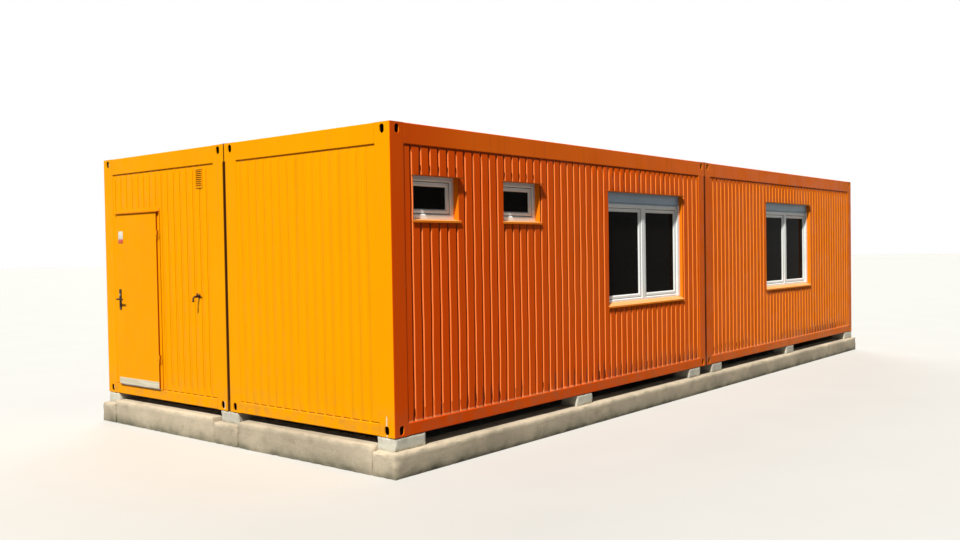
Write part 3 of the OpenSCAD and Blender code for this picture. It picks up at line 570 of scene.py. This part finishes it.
def board(name, base, shade, grain=60.0, roughness=0.55):
    """Coated lining board with a fine surface and slight clouds."""
    f = Finish(name, specular=0.35)
    colour = f.mix(f.ramp(f.noise(1.1, detail=4), 0.35, 0.7), base, shade)
    fine = f.noise(grain, detail=4, stretch=(1, 1, 0.15))
    f.set("Base Color", f.stain(colour, shade, fine, 0.5, 0.8, 0.25))
    gloss = f.noise(8, detail=2)
    f.set("Roughness", f.ramp(gloss, 0.3, 0.7, roughness - 0.08, roughness + 0.08))
    f.set("Normal", f.bump(f.noise(grain * 3, detail=2), 0.0004, 0.4))
    return f.material


def glass(name):
    """Double glazing, dark from outside: a near black, nearly opaque colour that is painted shade
    of the room behind it, with a trace of dust.
    """
    f = Finish(name, specular=0.015)
    dust = f.ramp(f.noise(3, detail=5, stretch=(1, 1, 0.5)), 0.5, 0.8)
    f.set("Base Color", f.mix(f.times(dust, 0.1), SHADED_GLASS, DUSTY_GLASS))
    f.set("Roughness", f.ramp(dust, 0, 1, 0.02, 0.10))
    f.set("Alpha", 0.88)
    f.set("IOR", 1.4)
    f.set("Normal", f.bump(f.noise(1.4, detail=1), 0.004, 0.25))
    return f.material


def metal(name, light, dark, roughness, metallic=0.8, brushed=(1, 1, 1), scale=40.0, pit=0.0006):
    """Bare or anodised metal, brushed or cast, dull where it is touched or weathered."""
    f = Finish(name, metallic=metallic, specular=0.5)
    lines = f.noise(scale, detail=5, stretch=brushed)
    cloud = f.ramp(f.noise(5, detail=5), 0.35, 0.7)
    colour = f.mix(f.ramp(lines, 0.3, 0.7), light, dark)
    f.set("Base Color", f.mix(f.times(cloud, 0.5), colour, dark))
    f.set("Roughness", f.math("ADD", f.times(cloud, 0.18), roughness))
    rounded, _ = f.edges(0.001)
    f.set("Normal", f.bump(lines, pit, 0.5, rounded))
    return f.material


def moulded(name, base, worn, roughness=0.5, edge=0.0015, specular=0.4):
    """Black plastic, rubber or a small painted casting, paler where hands or weather wear it."""
    f = Finish(name, specular=specular)
    rounded, near = f.edges(edge)
    colour = f.stain(base, worn, f.noise(14, detail=5), 0.45, 0.75, 0.5)
    rubbed = f.times(near, f.ramp(f.noise(90, detail=3), 0.4, 0.6, 0, 0.7))
    f.set("Base Color", f.mix(rubbed, colour, worn))
    gloss = f.noise(20, detail=4)
    f.set("Roughness", f.ramp(gloss, 0.3, 0.7, roughness - 0.1, roughness + 0.12))
    f.set("Normal", f.bump(f.noise(300, detail=2), 0.0003, 0.5, rounded))
    return f.material


# Shaded orange for the long sides and lit yellow for the ends: painted shade and light
SHADED_SIDE_ORANGE = (0.80, 0.080, 0.002)
LIT_END_YELLOW = (0.92, 0.36, 0.0)

# Each paint takes its first colour on the long sides and its second on the ends, as painted shade
# and light
FRAME_PAINT = paint("frame_paint", (0.78, 0.082, 0.002), LIT_END_YELLOW, satin=0.40, scrapes=True)
CLADDING_PAINT = paint("cladding_paint", SHADED_SIDE_ORANGE, LIT_END_YELLOW, dirt=0.6, wear=0.3, satin=0.44,
                       flanks=0.12, lines=0.85)
# Door paint: red on what faces the long sides and underneath, yellow on the ends, as painted shade
# and light
DOOR_PAINT = paint("door_paint", (1.0, 0.14, 0.0), (0.92, 0.35, 0.0), dirt=0.7, wear=0.6,
                   shade_below=(1.0, 0.03, 0.0))
# Surround paint: dark brown on what faces the long sides and lit yellow on the reveals, as painted
# shade and light; near black on what faces up
SURROUND_PAINT = paint("surround_paint", (0.36, 0.06, 0.006), (0.95, 0.225, 0.008), wear=0.8,
                       flanks=0.9, top=(0.10, 0.018, 0.005))
# Sill paint: its pale top is a painted highlight
SILL_PAINT = paint("sill_paint", (0.95, 0.24, 0.010), (0.95, 0.30, 0.02), dirt=0.8, wear=0.6,
                   top=(0.95, 0.41, 0.15))
GRILLE_PAINT = paint("grille_paint", SHADED_SIDE_ORANGE, (0.90, 0.34, 0.0), wear=0.3, flanks=0.1,
                     slots=0.9)
STRIP_CONCRETE = concrete("strip_concrete", (0.60, 0.50, 0.36), (0.42, 0.35, 0.25),
                          (0.27, 0.21, 0.13))
BLOCK_CONCRETE = concrete("block_concrete", (0.66, 0.64, 0.54), (0.52, 0.50, 0.43),
                          (0.34, 0.31, 0.24))
ZINC = galvanised("galvanised_sheet")
# The joint covers are dark maroon where they hang down over the seams: painted shade
COVER = galvanised("cover_sheet", edge=(0.16, 0.02, 0.006))
PVC = plastic("white_pvc", (0.88, 0.91, 0.91), (0.66, 0.68, 0.65))
# The shutter boxes' blue grey is painted shade of pale boxes under the window heads
SHADED_SHUTTER = plastic("shutter_shaded_blue", (0.33, 0.47, 0.60), (0.27, 0.36, 0.43), roughness=0.4)
GLASS = glass("glazing")
LINING = board("lining_board", (0.78, 0.76, 0.70), (0.70, 0.68, 0.62))
CEILING = board("ceiling_board", (0.82, 0.82, 0.80), (0.76, 0.76, 0.74), grain=30.0)
DECK = board("deck_board", (0.30, 0.31, 0.31), (0.20, 0.21, 0.21), grain=140.0, roughness=0.45)
ALUMINIUM = metal("joint_strip", (0.72, 0.73, 0.74), (0.55, 0.56, 0.57), 0.34,
                  brushed=(0.05, 1, 1))
KICK = metal("kick_metal", (0.76, 0.71, 0.56), (0.58, 0.52, 0.38), 0.46, metallic=0.35,
             brushed=(1, 0.04, 1))
THRESHOLD = metal("threshold_metal", (0.52, 0.52, 0.50), (0.32, 0.31, 0.29), 0.45,
                  brushed=(1, 0.05, 1))
BRASS = metal("tap_brass", (0.14, 0.06, 0.025), (0.05, 0.022, 0.012), 0.5, scale=25.0, pit=0.001)
SCREW = metal("screw_zinc", (0.62, 0.62, 0.60), (0.38, 0.36, 0.33), 0.4)
RUBBER = moulded("seal_rubber", (0.012, 0.012, 0.012), (0.05, 0.048, 0.045), roughness=0.75)
# The seam seal is the maroon of painted shade in the seam gap
SEAM_SEAL = moulded("seam_seal", SHADE_MAROON, (0.06, 0.012, 0.008), roughness=0.85, specular=0.05)
# The door seal's red stands for the shaded gaps round the leaf, as painted shade
DOOR_SEAL = moulded("door_seal", (0.50, 0.03, 0.002), (0.36, 0.03, 0.004), roughness=0.8,
                    specular=0.05)
BLACK = moulded("black_plastic", (0.020, 0.007, 0.005), (0.05, 0.022, 0.016), specular=0.15)
RED_LEVER = moulded("lever_paint", (0.22, 0.018, 0.012), (0.30, 0.12, 0.08), roughness=0.4)
SIGN_WHITE = moulded("sign_white", (0.74, 0.71, 0.64), (0.60, 0.55, 0.46), specular=0.15)
SIGN_RED = moulded("sign_red", (0.62, 0.10, 0.06), (0.50, 0.16, 0.11), roughness=0.4,
                   specular=0.2)

NODE_FINISHES = {
    "long_foundation_strips": STRIP_CONCRETE, "end_foundation_strips": STRIP_CONCRETE,
    "bearing_blocks": BLOCK_CONCRETE,
    "low_corner_fittings": FRAME_PAINT, "high_corner_fittings": FRAME_PAINT,
    "corner_posts": FRAME_PAINT,
    "long_floor_rails": FRAME_PAINT, "end_floor_rails": FRAME_PAINT,
    "long_roof_rails": FRAME_PAINT, "end_roof_rails": FRAME_PAINT,
    "underfloor_trays": ZINC, "floor_decks": DECK, "floor_joint_strips": ALUMINIUM,
    "ceiling_panels": CEILING, "roof_sheets": ZINC, "roof_joint_covers": COVER,
    "seam_seals": SEAM_SEAL,
    "front_wall_panels": LINING, "rear_wall_panels": LINING,
    "door_end_wall_panels": LINING, "far_end_wall_panels": LINING,
    "front_wall_cladding": CLADDING_PAINT, "rear_wall_cladding": CLADDING_PAINT,
    "door_end_cladding": CLADDING_PAINT, "far_end_cladding": CLADDING_PAINT,
    "window_surrounds": SURROUND_PAINT, "window_sills": SILL_PAINT,
    "small_window_frames": PVC, "small_window_sashes": PVC,
    "large_window_frames": PVC, "large_window_sashes": PVC,
    "shutter_boxes": SHADED_SHUTTER, "shutter_guides": PVC, "window_glass": GLASS,
    "door_frame": DOOR_PAINT, "door_threshold": THRESHOLD,
    "frame_hinge_knuckles": DOOR_PAINT, "leaf_hinge_knuckles": DOOR_PAINT,
    "door_leaf": DOOR_PAINT, "door_kick_plate": KICK,
    "door_handle_plates": BLACK, "door_lever": BLACK,
    "vent_grille": GRILLE_PAINT, "water_tap": BRASS, "tap_lever": RED_LEVER,
}


def finish_nodes():
    for name, finish in NODE_FINISHES.items():
        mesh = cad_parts[name].data
        mesh.materials.clear()
        mesh.materials.append(finish)


# Wall sheets

SHEET_STEP = 0.0612
SHEET_ROW = 0.11
SHARP_FOLD = 25
SHEET_BULGE = 0.0045
FOLD_SWAY = 0.0055
FOOT_EASE = 0.40
HEAD_EASE = 0.15

# Waves of the sheets along the wall and up it
BULGES = 2.1, 1.3
SWAYS = 5.0, 3.4
RIPPLES = 11, 8


def wave(a, z, counts, layer):
    return noise.noise(Vector((a * counts[0], z * counts[1], layer)))


def wavy_sheet(node, along):
    """A copy of the cladding, cut into rows and pressed slightly out of true, as thin sheet is."""
    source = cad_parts[node]
    bm = bmesh.new()
    bm.from_mesh(source.data)
    bmesh.ops.remove_doubles(bm, verts=bm.verts, dist=SAME_PLACE)
    low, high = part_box(node)
    across = 1 - along
    for axis, step in ((along, SHEET_STEP), (2, SHEET_ROW)):
        cut = Vector((0, 0, 0))
        cut[axis] = 1
        place = low[axis] + step
        while place < high[axis] - step / 2:
            point = Vector((0, 0, 0))
            point[axis] = place
            bmesh.ops.bisect_plane(bm, geom=bm.verts[:] + bm.edges[:] + bm.faces[:],
                                   plane_co=point, plane_no=cut, dist=SAME_PLACE)
            place += step
    for vert in bm.verts:
        side = 1 if vert.co[across] > 0 else -1
        a, z = vert.co[along], vert.co.z
        ease = min(1, (z - low.z) / FOOT_EASE, (high.z - z) / HEAD_EASE)
        bulge = 0.5 + 0.5 * wave(a, z, BULGES, 5 * side)
        sway = wave(a, z, SWAYS, 9 + side) + 0.5 * wave(a, z, RIPPLES, 3)
        vert.co[across] += side * ease * SHEET_BULGE * bulge
        vert.co[along] += ease * FOLD_SWAY * sway
    mesh = bpy.data.meshes.new(node + "_sheet")
    bm.to_mesh(mesh)
    bm.free()
    obj = put(node + "_sheet", mesh, CLADDING_PAINT, smooth=SHARP_FOLD)
    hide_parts(node)


# Foundation

CAST_FACE = 1e-6
UNEVEN_DEPTH = 0.0035
UNEVEN_SCALE = 9
BROKEN_SCALE = 14
EDGE_LOSS = 0.22
BROKEN_LOSS = 0.7
SOFT_EDGE = 50


def grid_box(low, high, cells):
    """A box whose faces are cut into a grid of about the given cells."""
    part = bmesh.new()
    size = high - low
    counts = [max(3, round(size[k] / cells[k])) for k in range(3)]
    verts = {}

    def vert(*key):
        if key not in verts:
            share = [key[n] / counts[n] for n in range(3)]
            verts[key] = part.verts.new([low[n] + share[n] * size[n] for n in range(3)])
        return verts[key]

    for axis in range(3):
        u, v = (axis + 1) % 3, (axis + 2) % 3
        for end in (0, counts[axis]):
            for i in range(counts[u]):
                for j in range(counts[v]):
                    face = []
                    for di, dj in ((0, 0), (1, 0), (1, 1), (0, 1)):
                        key = [0, 0, 0]
                        key[axis], key[u], key[v] = end, i + di, j + dj
                        face.append(vert(*key))
                    part.faces.new(face)
    return part


def worn_inward(co, low, high, chip, shift):
    """How far a point of a cast block moves in from each of the block's faces that it lies on."""
    gaps = [min(co[n] - low[n], high[n] - co[n]) for n in range(3)]
    near = [max(0.0, 1 - gap / chip) for gap in gaps]
    move = Vector((0, 0, 0))
    for n in range(3):
        if gaps[n] > CAST_FACE or (n == 2 and co.z - low.z < CAST_FACE):
            continue
        edge = max(near[m] for m in range(3) if m != n)
        uneven = 0.5 + 0.5 * noise.fractal(co * UNEVEN_SCALE + shift, 0.6, 2.2, 4)
        broken = max(0.0, noise.noise(co * BROKEN_SCALE + shift) + 0.05)
        inward = UNEVEN_DEPTH * uneven + chip * edge * edge * (EDGE_LOSS + BROKEN_LOSS * broken)
        move[n] = inward if co[n] - low[n] < CAST_FACE else -inward
    return move


def rough_concrete(name, node, finish, cells, chip, seed):
    """The node's blocks with rounded, broken edges and an uneven face, none of it outside them."""
    piece = Piece(name)
    for number, (low, high) in enumerate(islands(node)):
        part = grid_box(low, high, cells)
        shift = Vector((seed, number * 3.7, 0))
        for point in part.verts:
            point.co += worn_inward(point.co, low, high, chip, shift)
        piece.take(part, Matrix.Identity(4))
    obj = piece.done(finish, smooth=SOFT_EDGE)
    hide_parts(node)


# Frame and roof

RAIL_BEND = 0.008
COVER_HALF = 0.055
SCREW_EDGE = 0.014
SCREW_STEP = 0.3
ROOF_SCREW = (0.009, -0.001), (0.009, 0.0015), (0.006, 0.003), (0.006, 0.007)
WELD_DEPTH = 0.0006


def weld_fillets():
    """Weld metal in the grooves between the corner fittings' rounded edges and the rails' ends."""
    piece = Piece("weld_fillets")
    for node in ("low_corner_fittings", "high_corner_fittings"):
        for low, high in islands(node):
            middle = (low + high) / 2
            outer_y = max(abs(low.y), abs(high.y)) > FACE_Y - RAIL_BEND
            outer_x = max(abs(low.x), abs(high.x)) > FACE_X - RAIL_BEND
            for place, outer in ((FRONT if middle.y < 0 else REAR, outer_y),
                                 (DOOR_END if middle.x < 0 else FAR_END, outer_x)):
                if not outer:
                    continue
                a, b = in_wall(place, (low, high))
                half = (FACE_X if place in (FRONT, REAR) else FACE_Y) / 2
                inward = 1 if (a.x + b.x) / 2 < math.copysign(half, a.x + b.x) else -1
                edge = b.x if inward > 0 else a.x
                ends = sorted((edge - inward * RAIL_BEND, edge))
                piece.box(place, (ends[0], WELD_DEPTH, low.z + RAIL_BEND),
                          (ends[1], RAIL_BEND + 0.001, high.z - RAIL_BEND),
                          bevel=0.0005, segments=1)
    piece.done(FRAME_PAINT)


def roof_screws():
    """Sealed screws along both edges of the covers over the roof joints."""
    piece = Piece("roof_screws")
    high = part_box("roof_joint_covers")[1]
    rise = Matrix.Translation((0, 0, high.z))
    side = COVER_HALF - SCREW_EDGE
    for long_way, reach in ((True, high.x), (False, high.y)):
        count = round(2 * reach / SCREW_STEP)
        for k in range(count):
            far = -reach + (k + 0.5) * 2 * reach / count
            if abs(far) < 2 * COVER_HALF:
                continue
            for across in (-side, side):
                spot = (far, across, 0) if long_way else (across, far, 0)
                piece.lathe(rise @ Matrix.Translation(spot), ROOF_SCREW, sides=8)
    piece.done(SCREW)


# Windows

SASH_FACE = 0.043
SASH_DEPTH = 0.060
SLIT = 0.0005
LARGE_PANE = 0.6
HANDLE_FOOT = 0.040
HANDLE_GRIP = 0.115
SASH_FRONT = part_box("large_window_sashes")[0].y + FACE_Y
SASH_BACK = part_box("large_window_frames")[0].y + FACE_Y + SASH_DEPTH
WALL_BACK = FACE_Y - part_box("rear_wall_panels")[0].y

# The inner trims' section: inset from the frame's edge, depth
TRIM = ((-0.045, 0.0003), (-0.045, 0.008), (-0.041, 0.012),
        (-0.003, 0.012), (-0.001, 0.010), (-0.001, 0.0003))


def panes():
    """Each pane's wall and its box in that wall's axes."""
    for box in islands("window_glass"):
        place = FRONT if box[0].y < 0 else REAR
        yield (place, *in_wall(place, box))


def corners(low, high, out):
    """Two corners of a rectangle in a wall, moved outwards."""
    return (low.x - out, low.z - out), (high.x + out, high.z + out)


def window_gaskets():
    """Rubber lips round each pane, outside and inside, and between each sash and its frame."""
    piece = Piece("window_gaskets")
    for place, low, high in panes():
        for face, way in ((low.y, -1), (high.y, 1)):
            piece.sweep(place, *corners(low, high, SLIT), (
                (0.0002, face - way * 0.0003), (0.0002, face + way * 0.0035),
                (0.0045, face + way * 0.0012), (0.006, face - way * 0.0003)))
        piece.sweep(place, *corners(low, high, SLIT + SASH_FACE), (
            (-0.0004, SASH_FRONT + 0.0004), (0.0, SASH_FRONT - 0.0014),
            (0.0045, SASH_FRONT - 0.0012), (0.0055, SASH_FRONT + 0.0004)))
    piece.done(RUBBER)


def window_handles():
    """A turning handle on the room side of each sash."""
    piece = Piece("window_handles")
    seen = [0, 0]
    for place, low, high in panes():
        large = high.z - low.z > LARGE_PANE
        wall = 0 if place == FRONT else 1
        if large:
            a = (high.x + SASH_FACE / 2, low.x - SASH_FACE / 2)[seen[wall] % 2]
            z = (low.z + high.z) / 2
            seen[wall] += 1
        else:
            a, z = (low.x + high.x) / 2, high.z + SASH_FACE / 2
        spot = place @ Matrix.Translation((a, SASH_BACK, z))
        piece.box(spot, (-0.014, 0, -0.033), (0.014, 0.010, 0.033), bevel=0.004, segments=3)
        piece.tube(spot, ((0, 0.008, 0), (0, HANDLE_FOOT, 0)), (0.008, 0.008), sides=14)
        across, down = (0.0, -HANDLE_GRIP) if large else (HANDLE_GRIP, 0.0)
        grip = [(across * share, depth, down * share)
                for share, depth in ((0, HANDLE_FOOT), (0.1, 0.046), (0.6, 0.048), (1, 0.046))]
        piece.tube(spot, grip, (0.009, 0.010, 0.0085, 0.007), sides=14)
    piece.done(PVC)


def inner_trims():
    """Flat boards on the lining round each window's frame."""
    piece = Piece("inner_trims")
    for box in islands("small_window_frames") + islands("large_window_frames"):
        place = FRONT if box[0].y < 0 else REAR
        piece.sweep(place, *corners(*in_wall(place, box), 0.0),
                    [(inset, WALL_BACK + depth) for inset, depth in TRIM])
    piece.done(LINING, smooth=20)


# Door

DOOR_FACE = DOOR[0].x + FACE_X
DOOR_BACK = DOOR[1].x + FACE_X
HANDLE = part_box("door_handle_plates")
HANDLE_Y = (HANDLE[0].y + HANDLE[1].y) / 2
PLATE_FACE = HANDLE[0].x + FACE_X
KEY_HEIGHT = 0.173
KEY_Z = HANDLE[0].z + KEY_HEIGHT
PLATE_SCREW = 0.014
SIGN_EDGE = 0.043
SIGN_WIDTH = 0.099
SIGN_TOP = 2.277
SIGN_SPLIT = 2.183
SIGN_FOOT = 2.138
SIGN_SCREW = 0.009
LEAF_LIP = 0.014
SEAL_WIDTH = 0.0055
RIVETS = 6
RIVET_END = 0.02
RIVET_EDGE = 0.012
VENT_EDGE = 0.006


def screw(piece, place, a, depth, z, radius=0.004):
    """A round screw or rivet head, standing out of a wall's face."""
    spot = place @ Matrix.Translation((a, depth, z)) @ Matrix.Rotation(math.radians(90), 4, "X")
    head = ((radius, -0.0005), (radius, radius * 0.25), (radius * 0.6, radius * 0.5))
    piece.lathe(spot, head, sides=12)


def door_sign():
    """A bare two-tone plate on the leaf, held by four screws."""
    right = DOOR[1].y - SIGN_EDGE
    left = right - SIGN_WIDTH
    front, back = DOOR_FACE - 0.0035, DOOR_FACE + 0.0003
    upper = Piece("sign_upper")
    upper.box(DOOR_END, (left, front, SIGN_SPLIT), (right, back, SIGN_TOP), bevel=0.0012)
    upper.done(SIGN_WHITE, body="door")
    lower = Piece("sign_lower")
    lower.box(DOOR_END, (left, front, SIGN_FOOT), (right, back, SIGN_SPLIT - 0.0004), bevel=0.0012)
    lower.done(SIGN_RED, body="door")
    screws = Piece("sign_screws")
    for a in (left + SIGN_SCREW, right - SIGN_SCREW):
        for z in (SIGN_TOP - SIGN_SCREW, SIGN_FOOT + SIGN_SCREW):
            screw(screws, DOOR_END, a, front, z)
    screws.done(BLACK, body="door")


def key_cylinder():
    """The lock's cylinder in both handle plates, and the outer plate's screws."""
    body = Piece("key_cylinders")
    for depth, way in ((PLATE_FACE, -1), (HANDLE[1].x + FACE_X, 1)):
        ends = sorted((depth - way * 0.0003, depth + way * 0.006))
        for z, half in ((KEY_Z + 0.008, 0.0085), (KEY_Z - 0.008, 0.005)):
            body.box(DOOR_END, (HANDLE_Y - half, ends[0], z - 0.0085),
                     (HANDLE_Y + half, ends[1], z + 0.0085), bevel=0.003 if half > 0.006 else 0.002)
        if way < 0:
            for z in (HANDLE[0].z + PLATE_SCREW, HANDLE[1].z - PLATE_SCREW):
                screw(body, DOOR_END, HANDLE_Y, depth, z)
    body.done(SCREW, body="door")


def kick_rivets():
    """Rivets along the upper and lower edge of the kick plate."""
    piece = Piece("kick_rivets")
    low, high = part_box("door_kick_plate")
    for k in range(RIVETS):
        a = low.y + RIVET_END + k * (high.y - low.y - 2 * RIVET_END) / (RIVETS - 1)
        for z in (low.z + RIVET_EDGE, high.z - RIVET_EDGE):
            screw(piece, DOOR_END, a, low.x + FACE_X, z, radius=0.0035)
    piece.done(SCREW, body="door")


def door_seals():
    """Rubber between the leaf's lip and the frame, and on the stop behind the leaf."""
    piece = Piece("door_seals")
    jamb = LEAF_LIP - 0.006
    low, high = in_wall(DOOR_END, DOOR)
    side_low, side_high = low.x + jamb, high.x - jamb
    top = high.z - jamb
    face = DOOR_FACE + LEAF_LIP + 0.005
    stop = DOOR_BACK + 0.008
    foot = low.z + 0.004
    for outer, near, far in ((0.0068, face - 0.0046, face + 0.0002),
                             (-0.0045, stop - 0.0066, stop + 0.0002)):
        for a in (side_low - outer, side_high + outer - SEAL_WIDTH):
            piece.box(DOOR_END, (a, near, foot), (a + SEAL_WIDTH, far, top + outer), bevel=0.0015)
        piece.box(DOOR_END, (side_low - outer + SEAL_WIDTH, near, top + outer - SEAL_WIDTH),
                  (side_high + outer - SEAL_WIDTH, far, top + outer), bevel=0.0015)
    piece.done(DOOR_SEAL)


def vent_screws():
    """The four screws of the vent grille's frame."""
    piece = Piece("vent_screws")
    low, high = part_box("vent_grille")
    for a in (low.y + VENT_EDGE, high.y - VENT_EDGE):
        for z in (low.z + VENT_EDGE, high.z - VENT_EDGE):
            screw(piece, DOOR_END, a, low.x + FACE_X, z, radius=0.0032)
    piece.done(SCREW)


# Camera and light

LENS = 34.85
SENSOR = 36
FAR_CLIP = 500
CAMERA = Vector((-11.821, -8.224, 2.013))
YAW, PITCH, ROLL = 39.706, 1.342, 0.91
SKY = (0.86, 0.93, 1.0, 1)
SKY_STRENGTH = 0.15
WHITE = (1, 1, 1, 1)
FLOOR_RADIUS = 150
FLOOR_PALE = (0.58, 0.58, 0.57), (0.56, 0.56, 0.55)
FLOOR_LIT = (0.12, 0.12, 0.11)

# Lamps: the way the light travels, strength, spread in degrees, colour
SUNS = {
    "key": ((0.566, 0.226, -0.793), 5.3, 2.5, (1.0, 0.97, 0.90)),
    "rear_fill": ((-0.62, -0.66, -0.42), 1.4, 45, (0.92, 0.96, 1.0)),
}


def add_camera():
    yaw, pitch, roll = (math.radians(v) for v in (YAW, PITCH, ROLL))
    flat = math.cos(pitch)
    ahead = Vector((math.cos(yaw) * flat, math.sin(yaw) * flat, -math.sin(pitch)))
    level = Vector((math.sin(yaw), -math.cos(yaw), 0))
    below = ahead.cross(level)
    right = math.cos(roll) * level + math.sin(roll) * below
    up = math.sin(roll) * level - math.cos(roll) * below
    data = bpy.data.cameras.new("camera")
    data.lens = LENS
    data.sensor_width = SENSOR
    data.clip_end = FAR_CLIP
    camera = bpy.data.objects.new("camera", data)
    turn = Matrix((right, up, -ahead)).transposed().to_4x4()
    camera.matrix_world = Matrix.Translation(CAMERA) @ turn
    bpy.context.scene.collection.objects.link(camera)
    bpy.context.scene.camera = camera


def add_sun(name, travel, strength, spread, colour):
    data = bpy.data.lights.new(name, "SUN")
    data.energy = strength
    data.angle = math.radians(spread)
    data.color = colour
    lamp = bpy.data.objects.new(name, data)
    lamp.rotation_mode = "QUATERNION"
    lamp.rotation_quaternion = Vector(travel).to_track_quat("-Z", "Y")
    bpy.context.scene.collection.objects.link(lamp)


def seen_by_eye(tree):
    """1 for the camera and for what metal and glass show, 0 for light that falls on the object."""
    path = tree.nodes.new("ShaderNodeLightPath")
    last = path.outputs["Is Camera Ray"]
    for name in ("Is Glossy Ray", "Is Transmission Ray"):
        both = tree.nodes.new("ShaderNodeMath")
        both.operation = "MAXIMUM"
        tree.links.new(last, both.inputs[0])
        tree.links.new(path.outputs[name], both.inputs[1])
        last = both.outputs[0]
    return last


def add_world():
    """Dim sky light from all round, and a white background where it is seen."""
    world = bpy.data.worlds.new("studio")
    bpy.context.scene.world = world
    world.use_nodes = True
    tree = world.node_tree
    light = tree.nodes["Background"]
    light.inputs["Color"].default_value = SKY
    light.inputs["Strength"].default_value = SKY_STRENGTH
    white = tree.nodes.new("ShaderNodeBackground")
    white.inputs["Color"].default_value = WHITE
    both = tree.nodes.new("ShaderNodeMixShader")
    tree.links.new(seen_by_eye(tree), both.inputs[0])
    tree.links.new(light.outputs[0], both.inputs[1])
    tree.links.new(white.outputs[0], both.inputs[2])
    tree.links.new(both.outputs[0], tree.nodes["World Output"].inputs["Surface"])


def add_floor():
    """A pale floor, which throws little of its light back onto the building."""
    f = Finish("floor", roughness=0.9, specular=0.1)
    pale = f.mix(f.ramp(f.noise(0.8, detail=3), 0.3, 0.7, 0, 0.5), *FLOOR_PALE)
    f.set("Base Color", f.mix(seen_by_eye(f.tree), FLOOR_LIT, pale))
    bm = bmesh.new()
    bmesh.ops.create_circle(bm, cap_ends=True, segments=96, radius=FLOOR_RADIUS)
    mesh = bpy.data.meshes.new("floor")
    bm.to_mesh(mesh)
    bm.free()
    mesh.materials.append(f.material)
    floor = bpy.data.objects.new("floor", mesh)
    bpy.context.scene.collection.objects.link(floor)


finish_nodes()
for clad, direction in (("front_wall_cladding", 0), ("rear_wall_cladding", 0),
                        ("door_end_cladding", 1), ("far_end_cladding", 1)):
    wavy_sheet(clad, direction)
rough_concrete("long_strips_rough", "long_foundation_strips", STRIP_CONCRETE,
               cells=(0.05, 0.03, 0.03), chip=0.03, seed=1)
rough_concrete("end_strips_rough", "end_foundation_strips", STRIP_CONCRETE,
               cells=(0.03, 0.04, 0.03), chip=0.03, seed=2)
rough_concrete("blocks_rough", "bearing_blocks", BLOCK_CONCRETE,
               cells=(0.02, 0.02, 0.015), chip=0.016, seed=3)
weld_fillets()
roof_screws()
window_gaskets()
window_handles()
inner_trims()
door_sign()
key_cylinder()
kick_rivets()
door_seals()
vent_screws()
add_camera()
for sun, settings in SUNS.items():
    add_sun(sun, *settings)
add_world()
add_floor()
bpy.context.scene.view_settings.view_transform = "Standard"
